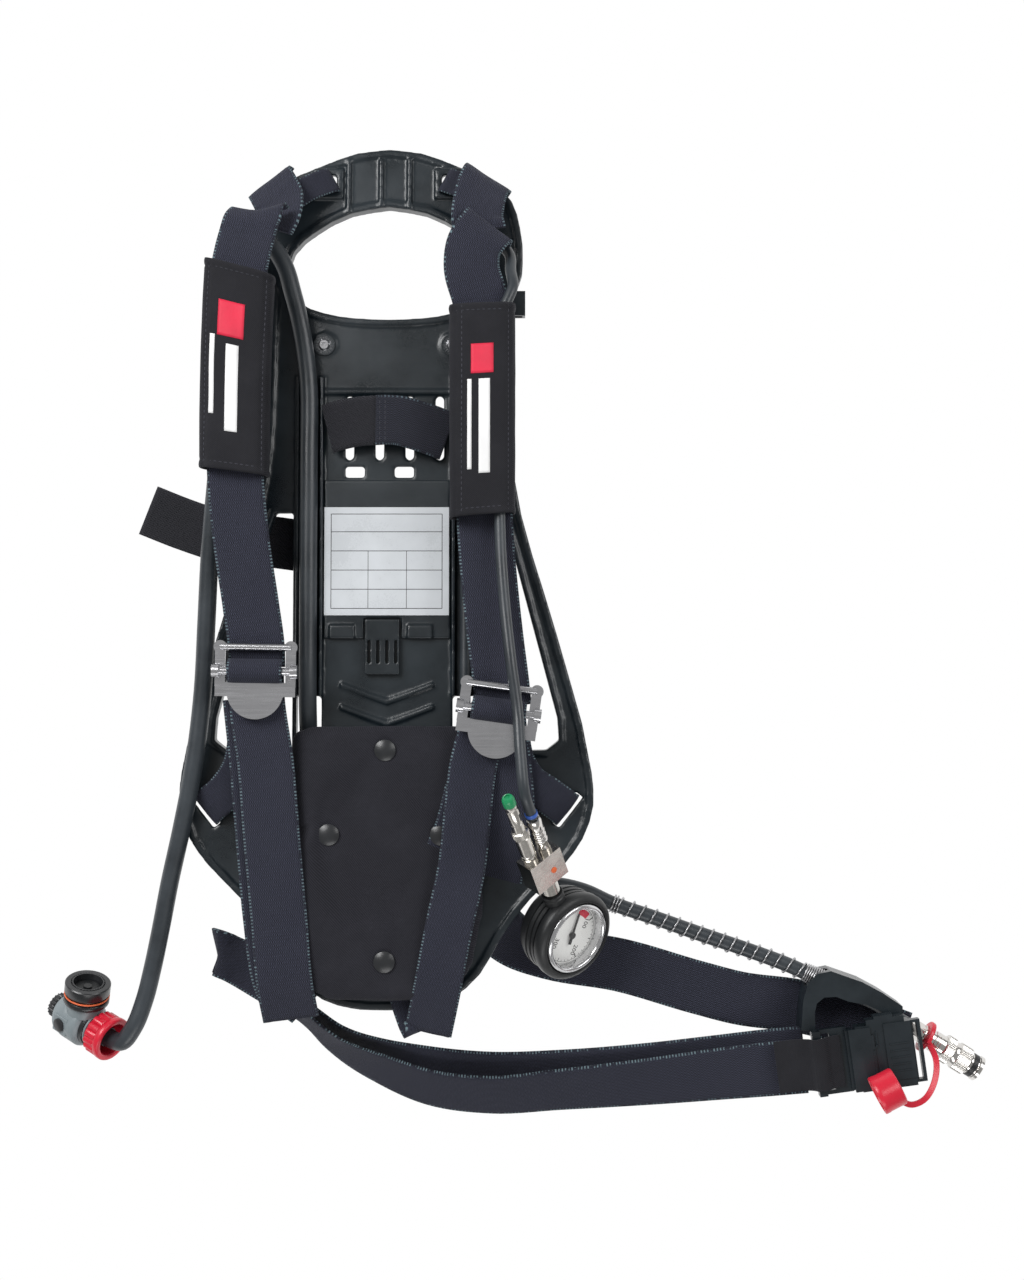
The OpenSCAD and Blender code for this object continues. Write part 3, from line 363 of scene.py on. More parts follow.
# ------------------------------------------------------------------ straps
def strap_stations(ctrl, k):
    q = spline(ctrl, k); out = []; s = 0
    for i, p in enumerate(q):
        t = (V(q[min(i+1, len(q)-1)]) - V(q[max(i-1, 0)])).normalized()
        a, e = math.radians(p[3]), math.radians(p[4])
        w0 = Vector((math.cos(a) * math.cos(e), math.sin(a) * math.cos(e), math.sin(e)))
        n = t.cross(w0).normalized(); sd = n.cross(t)
        if i: s += (V(p) - V(q[i-1])).length
        out.append((V(p) * .001, t, sd, n, s * .001))
    return out
def strap(name, ctrl, w=40, th=2, k=8, body="root", rep=(), mat=None, crown=0.0, ripple=0.0, seed=0, ends=(1, 1), slot="webbing"):
    st = strap_stations(ctrl, k); W = w * .001; T = th * .001
    N = 10; prof = []
    for i in range(N + 1):
        v = -.5 + i / N; prof.append((v, 1))
    for i in range(N, -1, -1):
        v = -.5 + i / N; prof.append((v, -1))
    verts = []; uvs = []; m = len(prof)
    for j, (p, t, sd, n, s) in enumerate(st):
        for v, side in prof:
            ed = 1 if abs(v) < .47 else .72
            off = crown * .001 * (1 - (2 * v) ** 2)
            off += ripple * .001 * noise.noise(Vector((s * 22 + seed * 7.3, v * 1.6, seed * 3.1)))
            q_ = p + sd * (v * W) + n * (side * T / 2 * ed + off)
            if q_.z < .0003: q_.z = .0003
            verts.append(q_); uvs.append((s, v + .5))
    faces = []
    for j in range(len(st) - 1):
        for i in range(m):
            a, b = j*m + i, j*m + (i+1) % m
            faces.append((a, b, b + m, a + m))
    faces.append(tuple(range(m - 1, -1, -1))); faces.append(tuple((len(st)-1)*m + i for i in range(m)))
    o = new_obj(name, verts, faces, mat or M_web, body, slot=slot, rep=rep, uvs=uvs)
    fix_normals(o)
    o["stations"] = len(st)
    return o, st
def on_strap(st, s, v, w, side=1, th=2.0, lift=.1):
    """place on a strap's face at distance s from its start and v across it, both in metres"""
    for a, b in zip(st, st[1:]):
        if a[4] <= s <= b[4] or b is st[-1]:
            f = max(0, min(1, (s - a[4]) / max(b[4] - a[4], 1e-9)))
            p = a[0].lerp(b[0], f); t = a[1].lerp(b[1], f).normalized(); sd = a[2].lerp(b[2], f).normalized(); n = a[3].lerp(b[3], f).normalized()
            return p + sd * v + n * side * (th / 2 + lift) * .001, t, sd, n * side
def seam(name, lines, mat=None, body="root", L=.0026, gap=.0012, r=.00032, slot="webbing"):
    """stitches: lines is a list of polylines of (point, normal)"""
    g = Geo()
    for line in lines:
        tot = 0; segs = []
        for (a, na), (b, nb) in zip(line, line[1:]):
            d = (b - a).length; segs.append((tot, d, a, b, na, nb)); tot += d
        s = 0
        def at(x):
            for t0, d, a, b, na, nb in segs:
                if x <= t0 + d or (t0, d, a, b, na, nb) == segs[-1]:
                    f = min(1, max(0, (x - t0) / max(d, 1e-9))); return a.lerp(b, f), na.lerp(nb, f)
        while s + L < tot:
            a, na = at(s); b, nb = at(s + L); mid, nm = at(s + L / 2)
            t = (b - a).normalized(); n = nm.normalized(); sd = t.cross(n).normalized()
            vs = []
            for f, hgt, wd in ((0, -.2, .5), (.25, .75, 1), (.75, .75, 1), (1, -.2, .5)):
                c = a.lerp(b, f)
                vs += [c + sd * r * wd + n * r * (hgt - .7), c + sd * r * wd * .7 + n * r * hgt, c - sd * r * wd * .7 + n * r * hgt, c - sd * r * wd + n * r * (hgt - .7)]
            fs = []
            for j in range(3):
                for i in range(4): fs.append((j*4 + i, j*4 + (i+1) % 4, j*4 + 4 + (i+1) % 4, j*4 + 4 + i))
            fs += [(3, 2, 1, 0), (12, 13, 14, 15)]
            g.add(vs, fs)
            s += L + gap
    return g.obj(name, mat or M_thread, body, slot=slot)
def box_stitch(name, st, s0, s1, hw, side=1, body="root", cross=True, th=2.0):
    def P(s, v): p, t, sd, n = on_strap(st, s, v, 0, side, th); return (p, n)
    def L(a, b, n=8): return [P(a[0] + (b[0]-a[0]) * i / n, a[1] + (b[1]-a[1]) * i / n) for i in range(n + 1)]
    q = [(s0, -hw), (s1, -hw), (s1, hw), (s0, hw)]
    lines = [L(q[i], q[(i+1) % 4]) for i in range(4)]
    if cross: lines += [L(q[0], q[2]), L(q[1], q[3])]
    return seam(name, lines, body=body)

S = {}
S['yl'] = strap("yoke_strip_left", [[-41, 297.5, 22, -60, 0], [-42, 297, 29, -60, 0], [-51, 293, 34, -52, 0], [-60, 288, 38, -45, 0], [-70, 281, 40, -40, 0]], 19, rep=("yoke_loop_left",), seed=21)
S['yl2'] = strap("yoke_fold_left", [[-84, 294.5, 18, 38, 0], [-87.5, 295, 26, 38, 0], [-87, 293, 37, 38, 0], [-83, 286, 44, 37, 0], [-78.5, 276, 51, 35, 0], [-79, 265, 58, 28, 0], [-84, 255, 62, 20, 0]], 38, seed=22, ripple=1)
S['yr'] = strap("yoke_strip_right", [[41, 297.5, 22, -120, 0], [42, 297, 29, -120, 0], [51, 293, 34, -128, 0], [60, 288, 38, -135, 0], [68, 281, 40, -140, 0]], 19, rep=("yoke_loop_right",), seed=23)
S['yr2'] = strap("yoke_fold_right", [[72, 297, 20, -33, 0], [74, 298, 28, -33, 0], [72, 295, 40, -33, 0], [69.5, 287, 47, -32, 0], [67, 275, 54, -30, 0], [66, 262, 59, -32, 0], [68, 252, 60, -36, 0]], 38, seed=24, ripple=1)
S['sl'] = strap("shoulder_strap_left_web", [[-88, 263, 63, 190, 0], [-90, 265, 69, 188, 0], [-94, 259, 75, 180, 0], [-98, 244, 80, 172, 0], [-102, 222, 86, 170, 0], [-104, 150, 87, 176, 0], [-105, 82, 89, 178, 0], [-101, 30, 87, 184, 0], [-94, -20, 85, 186, 0], [-90, -52, 85, 181, 0], [-90, -62, 83.5, 181, 0]], rep=("shoulder_strap_left",), ripple=1.2, seed=1)
S['sr'] = strap("shoulder_strap_right_web", [[73, 252, 58, 142, 0], [75, 256, 65, 142, 0], [71, 251, 70, 148, 0], [64, 240, 72, 164, 0], [62, 226, 73, 180, 0], [68.3, 200, 75.5, 180, 0], [70, 150, 76.5, 180, 0], [70, 82, 79.5, 179, 0], [73, 20, 80, 174, 0], [79, -40, 84, 172, 0], [84, -80, 85, 172, 0], [85, -90, 83, 172, 0]], rep=("shoulder_strap_right",), ripple=1.2, seed=2)
S['pl'] = strap("pull_strap_left_web", [[-91, -66, 84, 183, 0], [-90.5, -84, 82.5, 184, 0], [-84, -130, 84, 184, 0], [-79, -186, 87, 184, 0], [-74, -240, 87, 184, 0], [-70, -290, 84, 186, 0], [-67, -314, 74, 188, 0]], rep=("pull_strap_left",), ripple=1.5, seed=3)
S['pr'] = strap("pull_strap_right_web", [[79, -92, 83, 172, 2], [71, -106, 81, 172, 8], [64, -130, 82, 173, 8], [60, -160, 85, 175, 6], [56, -200, 87, 172, 0], [46, -248, 89, 168, 0], [38, -290, 85, 164, 0], [31, -324, 72, 164, 0]], 34, rep=("pull_strap_right",), ripple=1.5, seed=4)
S['wl'] = strap("wing_strap_left_web", [[-97, -84, 72, 184, 0], [-99, -112, 71, 178, 0], [-105, -138, 70, 160, 0], [-116, -153, 69, 142, 0], [-126, -161.5, 65, 131, 0], [-130.6, -165.8, 59, 128, 0], [-131.2, -166.2, 50, 128, 0]], 27, rep=("wing_strap_left",), ripple=1, seed=5)
S['wr'] = strap("wing_strap_right_web", [[90, -112, 72, 174, 0], [94, -130, 71, 184, 0], [103, -145, 70, 205, 0], [116, -154, 69, 222, 0], [126, -161.5, 65, 229, 0], [130.6, -165.8, 59, 232, 0], [131.2, -166.2, 50, 232, 0]], 27, rep=("wing_strap_right",), ripple=1, seed=6)
S['br'] = strap("waist_belt_right_web", [[72, -236, 44, 30, 0], [80, -254, 30, 40, 0], [96, -270, 10, 62, 0], [120, -279, 2.2, 76, 0], [172, -288, 1.6, 79, 0], [231, -305, 1.6, 76, 0], [262, -313, 1.6, 77, 0], [307, -319, 1.6, 80, 0], [350, -330, 1.6, 72, 0], [386, -343, 1.6, 70, 0]], rep=("waist_belt_right",))
S['bl'] = strap("waist_belt_left_web", [[-72, -313, 33, 50, 60], [-62, -322, 32, 54, 66], [-52, -331, 30, 60, 66], [-34, -347, 22, 66, 58], [-5, -364, 14, 74, 46], [30, -378, 12, 84, 38], [75, -383, 14, 92, 35], [127, -379, 14, 94, 30], [194, -373, 14, 94, 20], [250, -366, 18, 94, 8], [290, -361, 23, 94, 0], [309, -359, 24.5, 94, 0]], rep=("waist_belt_left",))
S['tl'] = strap("waist_tail_left_web", [[-122, -281, 8, -75, 10], [-129, -275, 13, -75, 12], [-127, -276, 18, -75, 15], [-112, -283, 19.5, -75, 15], [-96, -292, 21, -72, 15], [-78, -303, 23, -66, 20], [-62, -316, 25, -60, 25]], 34, rep=("waist_tail_left",))

# ------------------------------------------------------------------ generic finish of the carried-over nodes
CADMAT = dict(rating_label=M_label, pad_snaps=M_snap, panel_screws=M_steel, rear_screws=M_steel, hose_clip=M_buckle_p, cylinder_pad=M_boot,
  lumbar_pad=M_pad, sleeve_left=M_sleeve, sleeve_right=M_sleeve, bar_webbing_left=M_sleeve, bar_webbing_right=M_sleeve, buckle_left=M_steel, buckle_right=M_steel,
  cylinder_band=M_sleeve, buckle_male=M_buckle_p, buckle_prong_upper=M_buckle_p, buckle_prong_lower=M_buckle_p, buckle_female=M_buckle_p, belt_end_webbing=M_sleeve,
  coupling_holder=M_buckle_p, spring_guard=M_wire, coupling_body=M_chrome, coupling_sleeve=M_chrome, dust_cap=M_red, tee_block=M_nickel, whistle_body=M_nickel,
  whistle_tip=M_green, hose_ferrule=M_chrome, gauge_boot=M_boot, gauge_case=M_case, gauge_dial=M_white, gauge_needle=M_ink, gauge_lens=None, bourdon_tube=M_brass,
  valve_body=M_grey, valve_knob=M_snap, valve_button=M_red, hose_nut=M_red, port_seal=M_orange, reducer_body=M_nickel, reducer_piston=M_brass, reducer_spring=M_wire, cylinder_handwheel=M_boot)
glass = Mat("lens_clear", (1, 1, 1), .03); glass.b.inputs["Transmission Weight"].default_value = 1; glass.b.inputs["IOR"].default_value = 1.3
glass.rough(glass.lerp(glass.noise(40, 3, .5), .01, .05, .3, .7))
CADMAT["gauge_lens"] = glass.m
hidden = set()
def radial(g, M, st, seg=96, k=.001):
    """surface round local z: st = [(z, r)], r a number or a function of the angle"""
    n = len(st); v = []; f = []
    for j in range(seg):
        a = TAU * j / seg
        for z, r in st:
            rr = max(r(a) if callable(r) else r, .001)
            v.append(M @ (Vector((rr * math.cos(a), rr * math.sin(a), z)) * k))
    for j in range(seg):
        for i in range(n - 1):
            a, b = j * n + i, ((j + 1) % seg) * n + i
            f.append((a, b, b + 1, a + 1))
    f.append(tuple(j * n for j in range(seg - 1, -1, -1))); f.append(tuple(j * n + n - 1 for j in range(seg)))
    g.add(v, f)
def done(*nodes): hidden.update(nodes)
RX = Matrix.Rotation(math.radians(-90), 4, 'X')      # local z turned to +y, as in the CAD file
def T(x, y, z): return Matrix.Translation(Vector((x, y, z)) * .001)

# ---- gauge
GF = frame_at((130.6, -255.3, 50), -26.6, 44, 55)
TF = GF @ T(0, 10, 0)
g = Geo()
rib = lambda a: 31.9 + .7 * max(-.6, min(.6, math.cos(44 * a))) / .6
radial(g, GF, [(-21, 0), (-21, 22), (-20.4, 25), (-18.8, 27.6), (-16.4, 29.6), (-13.4, 31), (-11, 31.8), (-8.6, 32.2), (-8, 32.4), (-7.6, 31.2), (-6.4, 31.2), (-6, 32.4), (-3.4, 32.4), (-3, 31.2), (-1.8, 31.2), (-1.4, 32.4), (1, 32.4), (1.4, 31.2), (2.4, 31.2), (2.8, 32.8), (4.2, 33.5), (8.6, 33.5), (10, 33), (11.4, 31.8), (12.3, 30.2), (12.5, 29), (12.3, 28), (11.4, 27.45), (-17.3, 27.45), (-17.3, 0)], 192)
g.lathe(GF @ T(0, 26, 0) @ RX, [(4.3, .4), (7.6, 0), (8, .6), (8, 4.2), (7.3, 5), (7.3, 6.2), (8, 7), (8, 11.2), (7.3, 12), (7.3, 13), (8, 13.6), (8, 14.5), (7.5, 15), (4.3, 15)], 48)
o = g.obj("gauge_boot_moulding", M_boot, "gauge_head", slot="boot_rubber", rep=("gauge_boot",), angle=38)
g = Geo()
g.ring(GF, [(27.2, -17), (27.2, 10.8), (27.05, 12), (26.5, 13), (25.6, 13.6), (24.6, 13.7), (23.8, 13.4), (23.2, 12.6), (22.95, 11.4), (22.95, -15), (0.4, -15.2), (.4, -17)], 128)
o = g.obj("gauge_bezel", M_case, "gauge_head", slot="case_steel", rep=("gauge_case",), angle=50)
# dial print: ticks, red sector, numbers of the scale
g = Geo(); gr = Geo()
DZ = 5.02
def dial_angle(p): return math.radians(92 - .95 * p)      # angle from +x in the gauge frame
def radial_box(gg, ang, r0, r1, w, z0=DZ, z1=DZ + .06):
    M = GF @ Matrix.Rotation(ang, 4, 'Z'); gg.box(M, r0, r1, -w / 2, w / 2, z0, z1)
for p in range(50, 311, 10):
    big = p % 100 == 0; mid = p % 50 == 0
    radial_box(g, dial_angle(p), 21.6 - (3.4 if big else 2.6 if mid else 1.6), 21.6, .8 if big else .5 if mid else .28)
n = 60; a0, a1 = dial_angle(50), dial_angle(310)
vs = []; fs = []
for i in range(n + 1):
    a = a0 + (a1 - a0) * i / n
    for r in (21.5, 21.8): vs.append(GF @ (Vector((r * math.cos(a), r * math.sin(a), DZ + .03)) * .001))
for i in range(n): fs.append((2*i, 2*i + 1, 2*i + 3, 2*i + 2))
g.add(vs, fs)
o = g.obj("dial_scale", M_ink, "gauge_head", slot="needle_black", smooth=False)
vs = []; fs = []; a0, a1 = dial_angle(50), dial_angle(86)
for i in range(21):
    a = a0 + (a1 - a0) * i / 20
    for r in (15.6, 20.6): vs.append(GF @ (Vector((r * math.cos(a), r * math.sin(a), DZ + .035)) * .001))
for i in range(20): fs.append((2*i, 2*i + 1, 2*i + 3, 2*i + 2))
gr.add(vs, fs)
o = gr.obj("dial_low_sector", M_printred, "gauge_head", slot="red_plastic", smooth=False)
def digits(name, text, x, y, size, roll, mat=M_ink):
    cu = bpy.data.curves.new(name, 'FONT'); cu.body = text; cu.size = size * .001; cu.align_x = 'CENTER'; cu.align_y = 'CENTER'; cu.extrude = .00003; cu.resolution_u = 4
    t = bpy.data.objects.new(name + "_src", cu); scene.collection.objects.link(t)
    dg = bpy.context.evaluated_depsgraph_get()
    me = bpy.data.meshes.new_from_object(t.evaluated_get(dg), depsgraph=dg)
    bpy.data.objects.remove(t)
    me.transform(GF @ T(x, y, DZ + .03) @ Matrix.Rotation(math.radians(roll), 4, 'Z'))
    me.materials.clear(); me.materials.append(mat)
    ob = bpy.data.objects.new(name, me); scene.collection.objects.link(ob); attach(ob, "gauge_head")
    return ob
for p in (100, 200, 300):
    a = dial_angle(p)
    digits("dial_number_%d" % p, str(p), 14.6 * math.cos(a), 14.6 * math.sin(a), 5.6, -141)
# lens: clear, with reflections only
lm = Mat("lens_sheet", (1, 1, 1), .04)
out = [n_ for n_ in lm.n if n_.type == 'OUTPUT_MATERIAL'][0]
tr = lm.node("ShaderNodeBsdfTransparent"); gl = lm.node("ShaderNodeBsdfGlossy"); fr = lm.node("ShaderNodeFresnel"); mx = lm.node("ShaderNodeMixShader")
gl.inputs["Roughness"].default_value = .03; fr.inputs["IOR"].default_value = 1.38
bf = lm.node('ShaderNodeNewGeometry'); ff = lm.math('MULTIPLY', fr.outputs[0], lm.math('SUBTRACT', 1.0, bf.outputs['Backfacing'])); lm.l.new(ff, mx.inputs[0]); lm.l.new(tr.outputs[0], mx.inputs[1]); lm.l.new(gl.outputs[0], mx.inputs[2]); lm.l.new(mx.outputs[0], out.inputs["Surface"])
CADMAT["gauge_lens"] = lm.m

# ---- tee, whistle and ferrule
g = Geo()
g.lathe(TF @ T(-7, 72.2, 0) @ RX, [(0, 0), (5.3, 0), (5.6, .4), (5.6, 3.4), (5.1, 3.8), (5.1, 5), (5.6, 5.4), (5.6, 19.6), (5, 20.2), (5, 21), (0, 21)], 48)
kn = lambda a: 6 + .2 * math.cos(30 * a)
radial(g, TF @ T(-7, 72.2, 0) @ RX, [(20.8, 0), (20.8, 5.2), (21.3, kn), (25.7, kn), (26.2, 5), (27, 4.2), (27, 0)], 240)
# the tube with its sounding mouth, which is drawn as a dark patch of painted shade
g.lathe(TF @ T(-7, 72.2, 0) @ RX, [(0, 26.8), (4.5, 26.8), (4.5, 33), (4.2, 33.3), (4.2, 34.1), (4.5, 34.4), (4.5, 46), (4.3, 46.3), (4.3, 47), (4.5, 47.3), (4.5, 50.1), (0, 50.1)], 40)
g.obj("whistle_tube", M_nickel, "root", slot="nickel", rep=("whistle_body",), angle=40)
# painted shade: a thin dark box on the tube where the whistle's mouth opens into its hollow
g = Geo(); g.box(TF @ T(-7, 72.2 + 36, 0) @ Matrix.Rotation(math.radians(35), 4, 'Y'), -1.5, 1.5, 0, 6, 3.4, 4.56)
g.obj("whistle_mouth_painted_shade", M_ink, "root", slot="needle_black", smooth=False)
g = Geo(); g.lathe(TF @ T(-7, 122.4, 0) @ RX, [(0, 0), (4.5, 0), (4.6, .4), (4.6, 4.8), (4.3, 6.2), (3.5, 7.6), (2, 8), (1.9, 7), (0, 7)], 40)
g.obj("whistle_end_cap", M_green, "root", slot="green_plastic", rep=("whistle_tip",), angle=40)
g = Geo()
g.lathe(TF @ T(6, 72.2, 0) @ RX, [(0, 0), (4.3, 0), (4.6, .3), (4.6, 5.6), (4.9, 6), (5.4, 6.6), (5.4, 9), (5.1, 9.4), (5.1, 10), (5.4, 10.4), (5.4, 13), (5.1, 13.4), (5.1, 14), (5.4, 14.4), (5.4, 17), (5.1, 17.4), (5.1, 18), (5.4, 18.4), (5.4, 25.4), (4.9, 26.8), (4.1, 27), (4.1, 20), (0, 20)], 48)
g.obj("ferrule_crimp", M_chrome, "root", slot="nickel", rep=("hose_ferrule",), angle=40)
g = Geo(); g.ring(TF @ T(6, 102.2, 0) @ RX, [(4.05, 0), (4.5, 0), (4.6, .3), (4.6, 2.4), (4.5, 2.7), (4.05, 2.7)], 40)
g.obj("ferrule_blue_ring", M_blue, "root", angle=40)
g = Geo(); g.lathe(TF @ T(3.6, 55, 7.95), [(0, 0), (2.3, 0), (2.3, .5), (1.9, .8), (0, .9)], 32)
g.obj("tee_seal_dot", M_orange, "root", angle=40)

# ---- demand valve
LF = frame_at((-211, -329, 44), -23, 60, 24)
fl = lambda a: 14.5 + 1.5 * abs(math.cos(8 * a)) ** .6
g = Geo()
radial(g, LF @ T(0, 0, -1.8), [(0, 9.1), (0, 12.6), (.5, 13.4), (1.4, 13.9), (2.2, fl), (11, fl), (11.6, 15.4), (12.2, 16.1), (13.2, 16.4), (15.6, 16.4), (16.5, 16), (17, 15.3), (17, 13.2), (16.6, 12.4), (15.6, 12), (3.2, 12), (3, 11), (3, 7)], 256)
g.obj("hose_nut_fluted", M_red, "swivel_nut", slot="red_plastic", rep=("hose_nut",), angle=42)
g = Geo(); g.lathe(LF, [(6.6, -3), (8.8, -3), (8.8, 2), (8.4, 4), (7.6, 6), (7.6, 9), (7.2, 10), (6.55, 10), (6.55, -2)], 48)
g.obj("hose_tail_sleeve", M_boot, "root", slot="boot_rubber", angle=40)
kn = lambda a: 9.1 + .45 * math.cos(20 * a)
g = Geo(); radial(g, LF @ T(0, 0, -46), [(0, 0), (0, 7.2), (.4, 8), (1, kn), (5.6, kn), (6.2, 8.6), (6.6, 7), (13.5, 7), (13.5, 0)], 240)
g.obj("valve_knob_knurled", M_snap, "bypass_knob", slot="buckle_plastic", rep=("valve_knob",), angle=40)
g = Geo()
g.lathe(LF @ T(0, 0, -38), [(7.15, 2), (7.2, .1), (10.4, 0), (11.2, .3), (14.6, 3.6), (15.3, 4.6), (16.6, 10.4), (17, 12.4), (17, 17), (16.8, 17.3), (16.8, 17.9), (17, 18.2), (17, 26.4), (16.6, 27.4), (14.4, 29.8), (13.6, 30), (9.4, 30), (9, 30.4), (9, 36), (6, 36), (4.1, 36), (4.1, 22), (0, 22)], 96)
PT = LF @ T(0, 10, -16) @ RX
g.lathe(PT, [(0, 7.8), (14, 7.8), (14, 0), (0, 0)], 96)
g.obj("valve_housing", M_grey, "root", slot="valve_grey", rep=("valve_body",), angle=40)
g = Geo(); g.box(LF @ T(-16, -7, -31), -.6, 5, 0, 14, 0, 14)
o = g.obj("valve_button_frame", M_grey, "root", slot="valve_grey", smooth=False); bevel(o, .0006, 3)
g = Geo()
g.lathe(PT, [(0, 9.5), (11.6, 9.5), (12, 10.4), (12, 23.4), (12.4, 24), (15.8, 24), (16.5, 23.3), (16.5, 16.6), (16, 16), (15.2, 16), (15.2, 12), (16, 12), (16.5, 11.4), (16.5, 8.6), (16, 8), (0, 8)], 96)
g.obj("valve_port_tube", M_snap, "root", slot="valve_grey", angle=40)
# dark inside of the port with its serrated rim
g = Geo(); ser = lambda a: 11.6 + .35 * (1 if math.cos(36 * a) > 0 else -1)
radial(g, PT, [(9.6, 0), (9.6, 10.9), (10, 11.9), (23.4, 11.9), (23.9, ser), (24.3, ser), (24.3, 10.6), (12.2, 10), (12, 9), (11.6, 0)], 288)
g.obj("port_lining", M_snap, "root", slot="buckle_plastic", angle=40)
g = Geo()
g.lathe(PT, [(0, 19.4), (9.4, 19.4), (9.6, 19.2), (9.6, 12), (0, 12)], 64)
g.lathe(PT, [(0, 21), (3, 21), (3.2, 19), (0, 19)], 32)
g.obj("port_diaphragm", M_boot, "root", slot="boot_rubber", angle=40)
# dark band and pale ring before the nut
g = Geo(); g.lathe(LF @ T(0, 0, -8.2), [(9.2, 0), (13.4, 0), (13.7, .3), (13.7, 3.4), (13.3, 3.8), (9.2, 3.8)], 64)
g.obj("valve_collar", M_snap, "root", slot="buckle_plastic", angle=40)
g = Geo(); g.lathe(LF @ T(0, 0, -4.3), [(9.2, 0), (12.6, 0), (12.8, .2), (12.8, 1.6), (12.6, 1.8), (9.2, 1.8)], 64)
g.obj("valve_pale_ring", M_grey, "root", slot="valve_grey", angle=40)
g = Geo(); g.lathe(LF @ T(-18.5, 0, -24) @ Matrix.Rotation(math.radians(90), 4, 'Y'), [(0, 0), (4.2, 0), (4.9, .5), (5, 1.2), (5, 5.4), (0, 5.4)], 48)
g.obj("reset_button_cap", M_snap, "reset_button", slot="buckle_plastic", rep=("valve_button",), angle=40)

# ---- quick coupling
QC = frame_at((387, -331, 14), -32, 90)
g = Geo()
hexr = lambda a: 6.2 / math.cos(((a + math.pi / 6) % (math.pi / 3)) - math.pi / 6)
radial(g, QC, [(0, 0), (0, 5.6), (.5, hexr), (11.4, hexr), (12, 6.3), (12, 7.2), (12.4, 7.5), (20.8, 7.5), (21, 8), (21.4, 8.2), (22.4, 8.2), (22.7, 7.9), (23.3, 7.9), (23.6, 8.2), (24.6, 8.2), (24.9, 7.9), (25.5, 7.9), (25.8, 8.2), (53.4, 8.2), (53.7, 7.8), (54.3, 7.8), (54.6, 8.2), (58.8, 8.2), (59, 9.2), (59.3, 9.6), (61.6, 9.6), (62, 9.2), (62, 5.6), (61.4, 5), (38, 5), (38, 0)], 144)
g.obj("coupling_tube", M_chrome, "root", slot="nickel", rep=("coupling_body",), angle=35)
g = Geo(); kn = lambda a: 10.35 + .18 * math.cos(48 * a)
prof = [(30, 8.25), (30, 9.3), (30.3, 9.7), (30.9, kn), (37, kn), (37.6, 9.5), (38.2, 9.3), (40.8, 9.3), (41.4, 9.5), (42, kn), (51, kn), (51.6, 9.7), (52, 9.3), (52, 8.25)]
n = len(prof); vs = []; fs = []; seg = 384
for j in range(seg):
    a = TAU * j / seg
    for z, r in prof:
        rr = r(a) if callable(r) else r; vs.append(QC @ (Vector((rr * math.cos(a), rr * math.sin(a), z)) * .001))
for j in range(seg):
    for i in range(n):
        a, b, c, d = j*n + i, ((j+1) % seg)*n + i, ((j+1) % seg)*n + (i+1) % n, j*n + (i+1) % n
        fs.append((a, b, c, d))
g.add(vs, fs)
g.obj("coupling_grip", M_chrome, "locking_sleeve", slot="nickel", rep=("coupling_sleeve",), angle=35)
g = Geo(); g.lathe(QC @ T(0, 0, 54.2), [(8.3, 0), (8.9, 0), (8.9, 3.6), (8.3, 3.6), (8.25, 1)], 48)
g.obj("coupling_black_collar", M_boot, "root", slot="boot_rubber", angle=40)

# ---- dust cap with its ring and tether
g = Geo()
g.ring(QC @ T(0, 0, 14), [(7.56, 0), (11.4, 0), (12, .5), (12, 3), (11.4, 3.5), (7.56, 3.5)], 64)
g.box(QC @ T(0, 0, 14) @ Matrix.Rotation(math.radians(180), 4, 'Z'), 9, 14, -2.6, 2.6, .4, 3.1)
DC = frame_at((371, -365, 58.4), 207, 90)
g.lathe(DC, [(0, 0), (12.2, 0), (13.3, .4), (13.9, 1.4), (13.9, 13.6), (14.2, 14.2), (14.2, 17.4), (13.8, 18), (12.9, 18), (12.4, 17.4), (12.4, 2.2), (0, 1.8)], 80)
tp = spline([[399.5, -341, 25], [404, -352, 30], [402, -366, 37], [392, -379, 45], [381, -381, 51], [374, -378, 54]], 8)
M0 = Matrix.Identity(4)
pts = [Vector(p) * .001 for p in tp]; vs = []; fs = []
for i, p in enumerate(pts):
    t = (pts[min(i+1, len(pts)-1)] - pts[max(i-1, 0)]).normalized(); sd = t.cross(Vector((0, 0, 1))).normalized(); u = sd.cross(t)
    for a, b in ((2.2, .8), (2.2, -.8), (-2.2, -.8), (-2.2, .8)): vs.append(p + sd * a * .001 + u * b * .001)
for i in range(len(pts) - 1):
    for a in range(4): fs.append((i*4 + a, i*4 + (a+1) % 4, (i+1)*4 + (a+1) % 4, (i+1)*4 + a))
fs += [(3, 2, 1, 0), tuple((len(pts)-1)*4 + a for a in range(4))]
g.add(vs, fs)
o = g.obj("dust_cap_red", M_red, "cap_ring", slot="red_plastic", rep=("dust_cap",), angle=40); bevel(o, .0003, 2)

# ---- moulded outline and grip lines on the waist buckle
BK = frame_at((352, -350, 29), 0, 0, 8)
g = Geo()
q = [(5, -19), (5, 6), (8, 10), (8, 19)]
for (xa, ya), (xb, yb) in zip(q, q[1:]):
    a = math.atan2(yb - ya, xb - xa); l = math.hypot(xb - xa, yb - ya)
    g.box(BK @ T(xa, ya, 13.2) @ Matrix.Rotation(a, 4, 'Z'), -.3, l + .3, -.35, .35, 0, .35)
for k in range(5): g.box(BK, 17, 31, -12 + 5 * k, -11 + 5 * k, 13.1, 13.7)
o = g.obj("buckle_relief", M_buckle_p, "root", slot="buckle_plastic", smooth=False)

